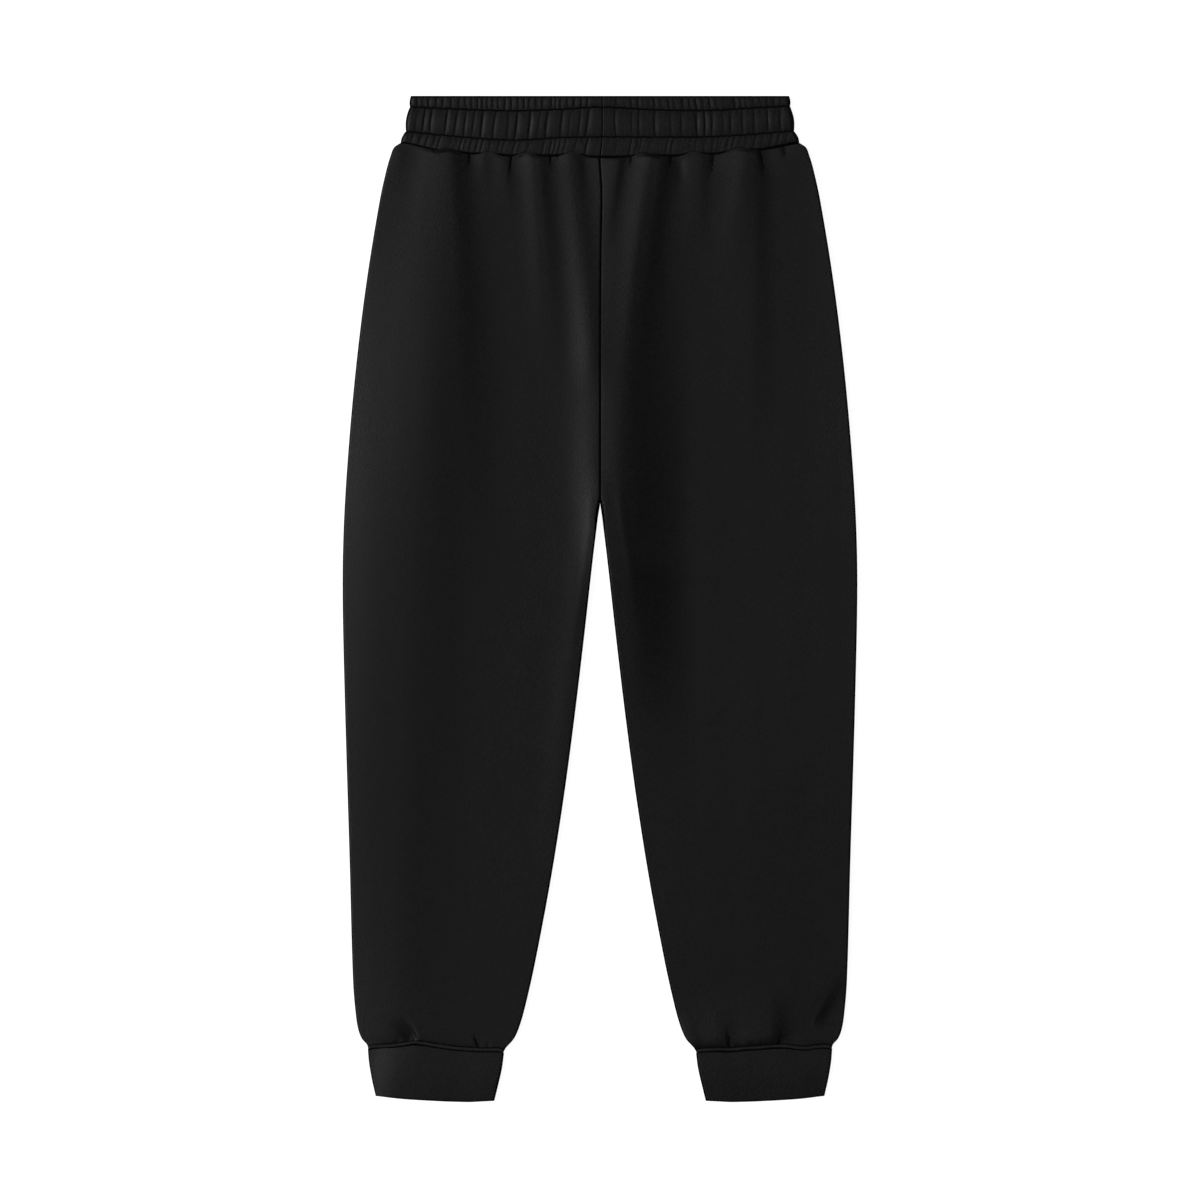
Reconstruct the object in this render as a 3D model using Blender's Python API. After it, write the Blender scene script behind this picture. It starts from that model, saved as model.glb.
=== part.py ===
"""Jogger sweatpants laid flat on a surface with the back up.

Seven pieces of cloth: two back leg panels lie on two front leg panels, a waistband ring that is
gathered on elastic closes the top, and a doubled cuff ring closes each leg. +X is to the right
of someone who looks down on the garment, +Y runs from the cuffs to the waist and +Z is up. The
origin is under the middle of the garment, on the surface that it lies on.

Sizes are in millimetres, and place() turns them into metres. "down" is the distance from the
waist edge towards the cuffs, and "across" the distance from the centre line.
"""

import math
from collections import namedtuple

import bmesh
import bpy
import numpy as np

MM = 0.001

# Driving dimensions
LENGTH = 1006.0  # waist edge to the lowest point of the cuffs
CROTCH_DOWN = 407.0
SEAM_GAP = 0.3  # between two pieces that are sewn together
CLOTH = 2.0  # brushed sweatshirt knit
CUFF_CLOTH = 2.4  # the same knit, doubled and pressed
BAND_CLOTH = 3.6  # doubled knit with elastic inside
BAND_SLIT = 0.4  # between the two layers of the flat waistband

# Heights above the surface
SIDE_SEAM_HEIGHT = 3.2  # where a back panel meets its front panel at the fold
WAIST_SEAM_HEIGHT = 6.8  # top of the back panels where the waistband takes them in
CUFF_SEAM_HEIGHT = 7.4  # top of the back panels where the cuffs take them in
CUFF_CROWN_HEIGHT = 6.4
CUFF_FOLD_HEIGHT = 3.3  # where the two sides of a cuff meet at its folds
BAND_STITCH_HEIGHT = 7.7  # the waistband along its rows of stitching
BAND_WAIST_DROP = 1.2  # how much lower its rounded waist edge is
BAND_SEAM_DROP = 0.5  # and its edge at the waist seam

# Sizes of the rounded folds and seams
BACK_FOLD_WIDTH = 6.0  # from the edge of a back panel to its full height
FRONT_FOLD_WIDTH = 4.5  # the same on a front panel
CUFF_FOLD_WIDTH = 3.4
RIM = 0.4  # straight stretch of cloth beside a side seam
INSIDE_RECESS = 0.7  # how far the inner side of a piece stops short of its end seams
WAIST_PUFF = 9.0  # how far below the waist seam a back panel reaches its full height
CUFF_PUFF = 12.0  # how far above the cuff seam it starts to fall
BACK_DIP_ANGLE = math.radians(50)  # how level the back panels still are at the centre seam
FRONT_DIP_ANGLE = math.radians(84)  # the same for the front panels
FORK_START, FORK_END = 395.0, 441.0  # the centre seam turns into the inseam between these
SEAM_BLEND = 6  # how fast the rows of a panel take up the form of its end seams

Edge = namedtuple("Edge", "down across")
SIDE_EDGE = [
    Edge(46.0, 198.5), Edge(50.5, 205.0), Edge(58.0, 208.3), Edge(72.0, 212.5),
    Edge(104.0, 219.5), Edge(184.0, 232.5), Edge(264.0, 242.5), Edge(344.0, 250.0),
    Edge(424.0, 255.2), Edge(494.0, 256.6), Edge(604.0, 254.4), Edge(764.0, 249.6),
    Edge(884.0, 246.2), Edge(920.0, 243.2), Edge(936.0, 240.5), Edge(944.0, 236.5),
    Edge(949.5, 231.5),
]
INNER_EDGE = [
    Edge(CROTCH_DOWN, 0.5 * SEAM_GAP), Edge(424.0, 3.0), Edge(464.0, 8.0), Edge(544.0, 17.0),
    Edge(624.0, 26.6), Edge(704.0, 37.4), Edge(784.0, 50.2), Edge(864.0, 65.4),
    Edge(904.0, 74.4), Edge(926.0, 80.5), Edge(940.0, 86.6), Edge(954.0, 97.0),
]

# Seams that run across the garment: how far down each one is at a distance across
CrossSeam = namedtuple("CrossSeam", "across stitch_1 stitch_2 waist_seam")
BAND_SEAMS = [
    CrossSeam(-199.0, 10.5, 35.0, 46.0), CrossSeam(-156.0, 12.8, 39.5, 55.0),
    CrossSeam(-90.0, 15.0, 44.4, 59.7), CrossSeam(-40.0, 13.6, 42.0, 59.9),
    CrossSeam(0.0, 11.5, 41.2, 61.0), CrossSeam(60.0, 14.2, 41.4, 60.2),
    CrossSeam(110.0, 14.6, 41.0, 58.2), CrossSeam(156.0, 12.0, 38.4, 54.6),
    CrossSeam(199.0, 10.0, 34.6, 46.0),
]
# Full puffs of leg cloth push the waist seam up between its gathers
Scallop = namedtuple("Scallop", "across rise width")
SCALLOPS = [
    Scallop(-149.0, 3.2, 9.0), Scallop(-109.0, 2.6, 9.0), Scallop(-73.0, 3.4, 9.0),
    Scallop(-28.0, 4.2, 9.0), Scallop(46.0, 3.6, 11.0), Scallop(92.0, 3.4, 11.0),
    Scallop(140.0, 4.6, 13.0),
]
CuffEdge = namedtuple("CuffEdge", "along inner outer")
CUFF_EDGES = [
    CuffEdge(0.0, 96.6, 231.6), CuffEdge(0.3, 98.6, 230.2),
    CuffEdge(0.65, 102.4, 227.4), CuffEdge(1.0, 106.4, 223.6),
]
Hem = namedtuple("Hem", "across top bottom")
CUFF_HEMS = [
    Hem(96.0, 954.6, 1004.4), Hem(130.0, 953.8, 1006.0),
    Hem(180.0, 949.6, 1004.2), Hem(232.0, 950.2, 999.0),
]

# The height of the back panels where no fold crosses them
Loft = namedtuple("Loft", "down height")
LOFT = [
    Loft(46.0, 8.8), Loft(110.0, 8.3), Loft(260.0, 7.6), Loft(450.0, 7.0),
    Loft(700.0, 7.0), Loft(880.0, 8.2), Loft(960.0, 9.2),
]

# Folds of the back panels. A negative height is a furrow and a positive one a ridge, and both
# run from start to end, where they fade out. "bow" moves the middle of a fold sideways.
Fold = namedtuple("Fold", "start_across start_down end_across end_down bow width end_width height")
FOLDS = [
    # left leg, from the side to the centre
    Fold(-166.0, 62.0, -190.0, 520.0, 0.0, 24.0, 46.0, 2.6),
    Fold(-131.0, 56.0, -98.0, 540.0, -4.0, 7.0, 34.0, -2.9),
    Fold(-110.0, 60.0, -108.0, 120.0, 0.0, 9.0, 14.0, 1.4),
    Fold(-90.5, 58.0, -88.0, 118.0, 0.0, 3.6, 11.0, -2.6),
    Fold(-70.0, 62.0, -56.0, 330.0, -2.0, 9.0, 22.0, 2.2),
    Fold(-50.5, 58.0, -34.0, 350.0, 2.0, 3.8, 12.0, -2.8),
    Fold(-27.0, 62.0, -15.0, 440.0, 2.0, 9.0, 13.0, 2.1),
    Fold(-13.5, 58.0, -9.0, 120.0, 0.0, 3.6, 7.0, -1.6),
    # right leg, from the centre to the side
    Fold(14.0, 64.0, 14.0, 430.0, 7.0, 8.0, 12.0, 1.9),
    Fold(29.5, 58.0, 15.0, 128.0, 0.0, 3.6, 8.0, -2.1),
    Fold(47.0, 60.0, 30.0, 240.0, 0.0, 11.0, 16.0, 1.8),
    Fold(71.0, 57.0, 58.0, 560.0, -14.0, 4.2, 20.0, -3.4),
    Fold(92.0, 60.0, 96.0, 260.0, 0.0, 12.0, 22.0, 1.6),
    Fold(113.0, 56.0, 104.0, 150.0, 0.0, 3.6, 13.0, -2.2),
    Fold(137.0, 58.0, 140.0, 330.0, 0.0, 14.0, 26.0, 2.4),
    Fold(157.0, 53.0, 166.0, 430.0, 4.0, 4.0, 22.0, -2.9),
    Fold(182.5, 50.0, 186.0, 82.0, 0.0, 3.0, 6.0, -1.8),
    # along the inseams, below the crotch
    Fold(-13.0, 430.0, -46.0, 700.0, 0.0, 6.0, 8.0, 1.0),
    Fold(17.0, 430.0, 50.0, 700.0, 0.0, 6.0, 8.0, 0.8),
    # above the cuffs
    Fold(-184.0, 949.0, -194.0, 915.0, 0.0, 4.0, 12.0, -2.6),
    Fold(-119.0, 951.0, -124.0, 928.0, 0.0, 3.0, 7.0, -2.0),
    Fold(-152.0, 946.0, -156.0, 905.0, 0.0, 13.0, 20.0, 1.2),
    Fold(127.5, 951.0, 124.0, 905.0, 0.0, 3.2, 14.0, -2.4),
    Fold(153.0, 947.0, 154.0, 905.0, 0.0, 12.0, 18.0, 1.4),
    Fold(179.0, 947.0, 184.0, 895.0, 0.0, 3.6, 14.0, -2.8),
    Fold(212.0, 934.0, 232.0, 878.0, 3.0, 6.0, 9.0, 1.6),
    Fold(200.0, 938.0, 240.0, 890.0, 6.0, 4.0, 8.0, -1.8),
]
FOLD_FADE_IN = 0.2  # share of its length over which a fold builds up before its start

# Gathers of the waistband between its rows of stitching: how many lie between the join and each
# side, how far they lean, how deep they are, how far the row swells and how far it bulges out
# at the sides
GatherRow = namedtuple("GatherRow", "left right lean_left lean_right depth width swell bulge")
GATHER_ROWS = [
    GatherRow(25, 21, 0.5, -1.8, 0.8, 1.6, 0.9, 0.8),
    GatherRow(16, 14, 3.4, -0.4, 1.0, 2.0, 1.5, 1.8),
    GatherRow(21, 20, 4.2, 3.2, 0.7, 1.6, 0.9, 1.2),
]
GATHER_JITTER = 0.26  # how unevenly they are spaced, as a share of their spacing
GATHER_SEED = 11
JOIN_HALF_WIDTH = 13.5  # of the ungathered strip at the centre-back join
JOIN_ACROSS = 2.5  # the join lies a little beside the centre line
BAND_HALF_WIDTHS = (188.6, 189.6, 193.6, 198.8)  # waist edge, stitch 1, stitch 2, waist seam

# Mesh density
ARC_STEPS = 4
WIDEST_COLUMN = 18.0  # of a back panel at the waist
COLUMN_BLEND = 170.0  # distance over which its columns become evenly spaced
FRONT_COLUMNS = 4
CUFF_TOP_COLUMNS, CUFF_UNDER_COLUMNS = 9, 5
BAND_COLUMN = 2.6
BAND_INSIDE_COLUMNS = 12  # in each half of its upper layer, and in its under layer
# Rows of a leg panel: distances from the waist seam, then distances from the cuff seam
BACK_ROWS = (
    (0, 1.5, 4.5, 9, 18, 34, 60, 100, 150, 210, 275, 335, 375, 398),
    (458, 430, 350, 250, 155, 92, 54, 30, 15, 7, 2.5, 0),
)
FRONT_ROWS = (
    (0, 4.5, 12, 40, 100, 180, 260, 325, 375),
    (500, 430, 350, 250, 155, 92, 54, 30, 15, 7, 0),
)
CUFF_ROWS = (0.0, 0.06, 0.35, 0.7, 0.94, 1.0)
BAND_ROWS = (0.0, 0.12, 0.55, 1.0, 1.22, 1.5, 1.78, 2.0, 2.35, 2.75, 3.0)
BAND_INSIDE_ROWS = (0.0, 1.0, 2.0, 3.0)

# The same black knit everywhere, a little denser where it is doubled and pressed
Look = namedtuple("Look", "red green blue roughness metallic")
LEG_LOOK = Look(0.0110, 0.0110, 0.0114, 0.88, 0.0)
BAND_LOOK = Look(0.0105, 0.0105, 0.0110, 0.86, 0.0)
CUFF_LOOK = Look(0.0105, 0.0105, 0.0110, 0.84, 0.0)

# A point on the outer side of the cloth, with the direction to its inner side
Point = namedtuple("Point", "across down height inward upward")


def smooth(rows, column, at):
    """A column of a table at any place between its rows, on a smooth curve through them."""
    key = [row[0] for row in rows]
    value = [getattr(row, column) for row in rows]
    at = min(max(at, key[0]), key[-1])
    i = min(max(int(np.searchsorted(key, at, side="right")) - 1, 0), len(key) - 2)

    def slope(k):
        a, b = max(k - 1, 0), min(k + 1, len(key) - 1)
        return (value[b] - value[a]) / (key[b] - key[a])

    step = key[i + 1] - key[i]
    t = (at - key[i]) / step
    return (
        (2 * t**3 - 3 * t**2 + 1) * value[i]
        + (t**3 - 2 * t**2 + t) * step * slope(i)
        + (3 * t**2 - 2 * t**3) * value[i + 1]
        + (t**3 - t**2) * step * slope(i + 1)
    )


def ease(t):
    """Goes from 0 to 1 with a level start and end."""
    t = min(max(t, 0.0), 1.0)
    return t * t * (3 - 2 * t)


def round_rise(t):
    """Goes from 0 to 1 along a quarter of a circle, steep at first."""
    t = min(max(t, 0.0), 1.0)
    return math.sqrt(1 - (1 - t) ** 2)


def between(start, end, steps):
    """Evenly spaced places from start to end, without start itself."""
    return [start + (end - start) * step / steps for step in range(1, steps + 1)]


def back_waist_columns(side):
    """Distances across where a back panel and the waistband share points along their seam.

    Each furrow that starts at the waist has one in it and one on each bank, each ridge has one,
    and the stretches between them are halved where they are wide.
    """
    fixed = [BACK_FOLD_WIDTH + RIM]
    for fold in FOLDS:
        if fold.start_across * side > 0 and fold.start_down < CROTCH_DOWN / 2:
            banks = (-1.2, 0, 1.2) if fold.height < 0 else (0,)
            fixed += [abs(fold.start_across) + bank * fold.width for bank in banks]
    fixed.append(SIDE_EDGE[0].across - BACK_FOLD_WIDTH)
    fixed.sort()
    columns = fixed[:1]
    for start, end in zip(fixed, fixed[1:]):
        columns += between(start, end, 2 if end - start > WIDEST_COLUMN else 1)
    return columns


def front_waist_columns():
    """The same for a front panel, whose columns are evenly spaced."""
    start = FRONT_FOLD_WIDTH + RIM
    return [start, *between(start, SIDE_EDGE[0].across - FRONT_FOLD_WIDTH, FRONT_COLUMNS)]


def waist_seam_corners(side, on_back):
    """The waist seam from the centre to the side, as corners of a line with straight stretches.

    Only the back is scalloped, because the front rests flat.
    """
    columns = back_waist_columns(side) if on_back else front_waist_columns()
    line = []
    for across in (0.0, *columns, SIDE_EDGE[0].across):
        down = smooth(BAND_SEAMS, "waist_seam", side * across)
        for scallop in SCALLOPS if on_back else ():
            offset = (side * across - scallop.across) / scallop.width
            down -= scallop.rise * math.exp(-(offset**2))
        line.append((across, down))
    return line


WAIST_SEAM = {
    (side, on_back): waist_seam_corners(side, on_back)
    for side in (-1, 1) for on_back in (False, True)
}


def waist_seam_down(across, on_back):
    """How far down the waist seam is."""
    places, downs = zip(*WAIST_SEAM[-1 if across < 0 else 1, on_back])
    return float(np.interp(abs(across), places, downs))


def cuff_seam_down(across, curved):
    """How far down a cuff seam is. It is curved on the back and straight on the front."""
    if curved:
        return smooth(CUFF_HEMS, "top", across)
    ends = CUFF_HEMS[0], CUFF_HEMS[-1]
    return float(np.interp(across, [hem.across for hem in ends], [hem.top for hem in ends]))


def fold_height(fold, across, down):
    """How much one fold adds to the height of a back panel."""
    along = (down - fold.start_down) / (fold.end_down - fold.start_down)
    if along <= -FOLD_FADE_IN or along >= 1.0:
        return 0.0
    t = max(along, 0.0)
    middle = (1 - t) * fold.start_across + t * fold.end_across + fold.bow * math.sin(math.pi * t)
    width = (1 - t) * fold.width + t * fold.end_width
    fade = (1 - ease(t)) * ease(1 + along / FOLD_FADE_IN)
    return fold.height * fade * math.exp(-(((across - middle) / width) ** 2))


def back_height(across, down, from_waist, from_cuff):
    """The top of a back panel away from its side seams."""
    height = smooth(LOFT, "height", down)
    height += sum(fold_height(fold, across, down) for fold in FOLDS)
    height = max(height, SIDE_SEAM_HEIGHT + CLOTH)
    height = WAIST_SEAM_HEIGHT + (height - WAIST_SEAM_HEIGHT) * round_rise(from_waist / WAIST_PUFF)
    return CUFF_SEAM_HEIGHT + (height - CUFF_SEAM_HEIGHT) * round_rise(from_cuff / CUFF_PUFF)


def place(across, down, height):
    """A point of the garment in the world, in metres."""
    return (across * MM, (0.5 * LENGTH - down) * MM, height * MM)


def material(name, look):
    made = bpy.data.materials.new(name)
    made.use_nodes = True
    made.diffuse_color = (look.red, look.green, look.blue, 1.0)
    shader = made.node_tree.nodes["Principled BSDF"]
    shader.inputs["Base Color"].default_value = (look.red, look.green, look.blue, 1.0)
    shader.inputs["Roughness"].default_value = look.roughness
    shader.inputs["Metallic"].default_value = look.metallic
    return made


def clear_scene():
    for obj in list(bpy.data.objects):
        bpy.data.objects.remove(obj)


def add_surface(bm, rows):
    """Vertices and faces through rows of places."""
    grid = [[bm.verts.new(place(*at)) for at in row] for row in rows]
    for upper, lower in zip(grid, grid[1:]):
        for i in range(len(upper) - 1):
            bm.faces.new((upper[i], upper[i + 1], lower[i + 1], lower[i]))
    return grid


def add_rim(bm, outer, inner):
    """Triangles between two lines of (key, vertex), matched by their keys."""
    i = j = 0
    while i < len(outer) - 1 or j < len(inner) - 1:
        ahead = j == len(inner) - 1
        if i < len(outer) - 1 and not ahead:
            ahead = outer[i][0] + outer[i + 1][0] <= inner[j][0] + inner[j + 1][0]
        if ahead:
            bm.faces.new((outer[i][1], outer[i + 1][1], inner[j][1]))
            i += 1
        else:
            bm.faces.new((outer[i][1], inner[j + 1][1], inner[j][1]))
            j += 1


def cloth_wall(name, outer, outer_keys, inner, inner_keys, collection, knit):
    """A wall between an outer and an inner surface, which may differ in their points.

    The keys, one list for the rows and one for the columns, say which points face each other.
    """
    bm = bmesh.new()
    outer = add_surface(bm, outer)
    inner = add_surface(bm, inner)
    for end in (0, -1):
        add_rim(bm, list(zip(outer_keys[1], outer[end])), list(zip(inner_keys[1], inner[end])))
        outer_side = [row[end] for row in outer]
        inner_side = [row[end] for row in inner]
        add_rim(bm, list(zip(outer_keys[0], outer_side)), list(zip(inner_keys[0], inner_side)))
    bmesh.ops.recalc_face_normals(bm, faces=bm.faces)
    mesh = bpy.data.meshes.new(name)
    bm.to_mesh(mesh)
    bm.free()
    mesh.shade_smooth()
    mesh.set_sharp_from_angle(angle=math.radians(60))
    mesh.materials.append(knit)
    obj = bpy.data.objects.new(name, mesh)
    collection.objects.link(obj)


def even_cloth(name, points, thickness, collection, knit):
    """A wall whose inner side lies one thickness from rows of outer points."""
    outer = [[point[:3] for point in row] for row in points]
    inner = [
        [(p.across + thickness * p.inward, p.down, p.height + thickness * p.upward) for p in row]
        for row in points
    ]
    for end, shift in ((0, INSIDE_RECESS), (-1, -INSIDE_RECESS)):
        inner[end] = [(across, down + shift, height) for across, down, height in inner[end]]
    keys = (range(len(points)), range(len(points[0])))
    cloth_wall(name, outer, keys, inner, keys, collection, knit)


def edge_arc(start_angle):
    """(angle, share of the fold's width) from the edge of a panel inwards."""
    angles = [start_angle, *between(start_angle, math.pi / 2, ARC_STEPS)]
    level = math.cos(start_angle)
    return [(angle, (level - math.cos(angle)) / level) for angle in angles]


def fork(down):
    """0 along the centre seam and 1 along the inseam."""
    return ease((down - FORK_START) / (FORK_END - FORK_START))


def leg_rows(distances, on_back):
    """The distances down of each row of a leg panel, at its inner and its outer edge."""
    from_waist, from_cuff = distances
    top = Edge(waist_seam_down(0.0, on_back), SIDE_EDGE[0].down)
    end = Edge(INNER_EDGE[-1].down, SIDE_EDGE[-1].down)
    inner_rows = [top[0] + distance for distance in from_waist]
    inner_rows += [end[0] - distance for distance in from_cuff]
    shares = [(inner - top[0]) / (end[0] - top[0]) for inner in inner_rows]
    return [(inner, top[1] + share * (end[1] - top[1])) for inner, share in zip(inner_rows, shares)]


def leg_points(side, distances, columns, fold_width, dip_angle, on_back, surface):
    """Rows of points over a leg panel, from its inner edge to its outer one.

    columns gives the places between the rounded edges, for a distance from the waist and the
    ends of the stretch. surface gives a point's height from its distances across and down, its
    distances from the waist and cuff seams, and the angle and rim of the rounded edge there.
    """
    rows = leg_rows(distances, on_back)
    points = []
    for inner_down, outer_down in rows:
        inner = smooth(INNER_EDGE, "across", inner_down)
        outer = smooth(SIDE_EDGE, "across", outer_down)
        dip = dip_angle * (1 - fork(inner_down))
        seam = inner + RIM * math.sin(dip)
        section = [(inner, dip, RIM * math.cos(dip), 1)]
        section += [(seam + fold_width * share, angle, 0.0, 1) for angle, share in edge_arc(dip)]
        start, end = seam + fold_width, outer - fold_width
        for across in columns(inner_down - rows[0][0], start, end):
            section.append((across, math.pi / 2, 0.0, 1))
        for angle, share in reversed(edge_arc(0.0)):
            section.append((outer - fold_width * share, angle, 0.0, -1))
        section.append((outer, 0.0, RIM, -1))
        row = []
        for across, angle, rim, inward in section:
            share = (across - inner) / (outer - inner)
            level = inner_down + (outer_down - inner_down) * share
            top = rows[0][0] + (rows[0][1] - rows[0][0]) * share
            end_down = rows[-1][0] + (rows[-1][1] - rows[-1][0]) * share
            along = (level - top) / (end_down - top)
            waist = waist_seam_down(side * min(across, SIDE_EDGE[0].across), on_back)
            cuff_seam = cuff_seam_down(across, on_back) - SEAM_GAP
            down = level + (waist - top) * (1 - along) ** SEAM_BLEND
            down += (cuff_seam - end_down) * along**SEAM_BLEND
            height, upward = surface(side * across, down, down - waist, cuff_seam - down, angle, rim)
            row.append(Point(side * across, down, height, side * inward * math.cos(angle), upward))
        points.append(row)
    return points


def back_panel(name, side, collection, knit):
    """Upper layer of one leg, with its folds, from the waist seam to the cuff seam."""
    at_waist = back_waist_columns(side)[1:-1]

    def columns(from_waist, start, end):
        even = between(start, end, len(at_waist) + 1)[:-1]
        blend = ease(from_waist / COLUMN_BLEND)
        return [(1 - blend) * a + blend * b for a, b in zip(at_waist, even)]

    def surface(across, down, from_waist, from_cuff, angle, rim):
        height = back_height(across, down, from_waist, from_cuff)
        edge = SIDE_SEAM_HEIGHT + RIM
        return edge + (height - edge) * math.sin(angle) - rim, -math.sin(angle)

    points = leg_points(side, BACK_ROWS, columns, BACK_FOLD_WIDTH, BACK_DIP_ANGLE, True, surface)
    even_cloth(name, points, CLOTH, collection, knit)


def front_panel(name, side, collection, knit):
    """Under layer of one leg, flat on the surface and turned up at its side folds."""

    def columns(from_waist, start, end):
        return between(start, end, FRONT_COLUMNS)[:-1]

    def surface(across, down, from_waist, from_cuff, angle, rim):
        edge = SIDE_SEAM_HEIGHT - SEAM_GAP - RIM
        return edge * (1 - math.sin(angle)) + rim, math.sin(angle)

    points = leg_points(side, FRONT_ROWS, columns, FRONT_FOLD_WIDTH, FRONT_DIP_ANGLE, False, surface)
    even_cloth(name, points, CLOTH, collection, knit)


def cuff(name, side, collection, knit):
    """A doubled strip wrapped round the end of a leg, with its ends joined at the inseam."""
    arc = edge_arc(0.0)
    fold = CUFF_FOLD_HEIGHT
    points = []
    for along in CUFF_ROWS:
        inner = smooth(CUFF_EDGES, "inner", along)
        outer = smooth(CUFF_EDGES, "outer", along)
        pressed = 0.9 * (1 - round_rise((1 - along) / 0.06)) + 0.3 * (1 - ease(along / 0.35))
        rise = CUFF_CROWN_HEIGHT + 0.9 * math.sin(math.pi * along) - pressed - fold - RIM
        drop = fold - RIM
        near = [(inner + CUFF_FOLD_WIDTH * share, angle, 1) for angle, share in arc]
        far = [(outer - CUFF_FOLD_WIDTH * share, angle, -1) for angle, share in reversed(arc)]
        start, end = near[-1][0], far[0][0]
        above = near + [(x, math.pi / 2, 1) for x in between(start, end, CUFF_TOP_COLUMNS)[:-1]] + far
        below = far[::-1] + [
            (x, math.pi / 2, 1) for x in between(end, start, CUFF_UNDER_COLUMNS)[:-1]
        ] + near[::-1]
        ring = [(inner, fold + 0.5 * SEAM_GAP, 0.0, 1, -1)]
        ring += [(x, fold + RIM + rise * math.sin(a), a, inward, -1) for x, a, inward in above]
        ring += [(x, drop * (1 - math.sin(a)), a, inward, 1) for x, a, inward in below]
        ring += [(inner, fold - 0.5 * SEAM_GAP, 0.0, 1, 1)]
        row = []
        for across, height, angle, inward, up in ring:
            top = cuff_seam_down(across, up < 0)
            down = top + (smooth(CUFF_HEMS, "bottom", across) - top) * along
            shift = side * inward * math.cos(angle)
            row.append(Point(side * across, down, height, shift, up * math.sin(angle)))
        points.append(row)
    even_cloth(name, points, CUFF_CLOTH, collection, knit)


def gather_creases(row, side):
    """Distances across of the creases between the gathers of one row, from the join outwards."""
    count = GATHER_ROWS[row].left if side < 0 else GATHER_ROWS[row].right
    spread = np.random.default_rng(GATHER_SEED + 10 * row + (side > 0))
    start, end = JOIN_HALF_WIDTH, BAND_HALF_WIDTHS[row] - 3.0
    spacing = (end - start) / count
    jitter = spread.uniform(-GATHER_JITTER, GATHER_JITTER, count) * spacing
    return [start + spacing * (i + 0.5) + jitter[i] for i in range(count)]


CREASES = {
    (row, side): [0.0, JOIN_HALF_WIDTH, *gather_creases(row, side)]
    for row in range(3) for side in (-1, 1)
}


def band_place(level):
    """The row of gathers at a level of the waistband, and the share of the row above it."""
    row = min(int(level), len(GATHER_ROWS) - 1)
    return row, level - row


def gather_depth(level, across):
    """How far the waistband dips between two gathers."""
    row, along = band_place(level)
    side = -1 if across < JOIN_ACROSS else 1
    gathers = GATHER_ROWS[row]
    lean = gathers.lean_left if side < 0 else gathers.lean_right
    at = side * (across - JOIN_ACROSS - lean * (0.5 - along))
    nearest = min(abs(at - crease) for crease in CREASES[row, side])
    strength = 0.3 if level in (0.0, 3.0) else math.sin(math.pi * along) ** 0.5
    return strength * gathers.depth * math.exp(-((nearest / gathers.width) ** 2))


def band_section(level):
    """Half the width of the waistband at a level, and the height of its crown."""
    row, along = band_place(level)
    gathers = GATHER_ROWS[row]
    half_width = float(np.interp(level, range(4), BAND_HALF_WIDTHS))
    half_width += gathers.bulge * math.sin(math.pi * along)
    crown = BAND_STITCH_HEIGHT + gathers.swell * math.sin(math.pi * along)
    drop = {0.0: BAND_WAIST_DROP, 3.0: BAND_SEAM_DROP}.get(level, 0.0)
    return half_width, crown - drop


def band_down(level, across, on_back):
    """How far down a level of the waistband is."""
    row, along = band_place(level)
    across = min(max(across, -SIDE_EDGE[0].across), SIDE_EDGE[0].across)
    edges = (
        0.0,
        smooth(BAND_SEAMS, "stitch_1", across),
        smooth(BAND_SEAMS, "stitch_2", across),
        waist_seam_down(across, on_back) - SEAM_GAP,
    )
    return edges[row] + (edges[row + 1] - edges[row]) * along


def band_top_columns(side):
    """Shares of the way from the centre line to a side fold, for the upper layer's columns."""
    half_width, crown = band_section(3.0)
    ends = half_width - 0.5 * crown
    columns = [side * JOIN_ACROSS + 0.5 * SEAM_GAP]
    for corner in (*back_waist_columns(side), ends):
        steps = max(1, round((corner - columns[-1]) / BAND_COLUMN))
        columns += between(columns[-1], corner, steps)
    return [column / ends for column in columns]


def band_outer_section(level, columns):
    """(key, across, height, on the back?) round one row, from the right of the join to its left.

    Keys run over the right part of the upper layer from 0 to 1, the right fold to 2, the under
    layer to 3, the left fold to 4 and the left part of the upper layer to 5.
    """
    half_width, crown = band_section(level)
    fold = 0.5 * crown
    ends = half_width - fold
    section = []
    for share in columns[1]:
        across = share * ends
        section.append((share, across, crown - gather_depth(level, across), True))
    turn = between(0.0, math.pi, 2 * ARC_STEPS)[:-1]
    half = [across * ends / BAND_HALF_WIDTHS[-1] for across in front_waist_columns()]
    under = half[::-1] + [-across for across in half]
    for angle in turn:
        across = ends + fold * math.sin(angle)
        section.append((1 + angle / math.pi, across, fold + fold * math.cos(angle), False))
    for across in (ends, *under, -ends):
        section.append((2.5 - 0.5 * across / ends, across, 0.0, False))
    for angle in turn:
        across = -ends - fold * math.sin(angle)
        section.append((3 + angle / math.pi, across, fold - fold * math.cos(angle), False))
    for share in reversed(columns[-1]):
        across = -share * ends
        section.append((5 - share, across, crown - gather_depth(level, across), True))
    return section


def band_inner_section(level, columns):
    """The plain inner side of one row, round the slit between the waistband's two layers."""
    half_width, crown = band_section(level)
    end = half_width - BAND_CLOTH
    upper, lower = BAND_CLOTH + BAND_SLIT, BAND_CLOTH
    right, left = columns[1][0] * end, -columns[-1][0] * end
    shares = [0.0, *between(0.0, 1.0, BAND_INSIDE_COLUMNS)]
    section = [(share, right + (end - right) * share, upper, True) for share in shares]
    section += [(2 + share, end * (1 - 2 * share), lower, False) for share in shares]
    section += [(4 + share, -end + (left + end) * share, upper, True) for share in shares]
    return section


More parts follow.
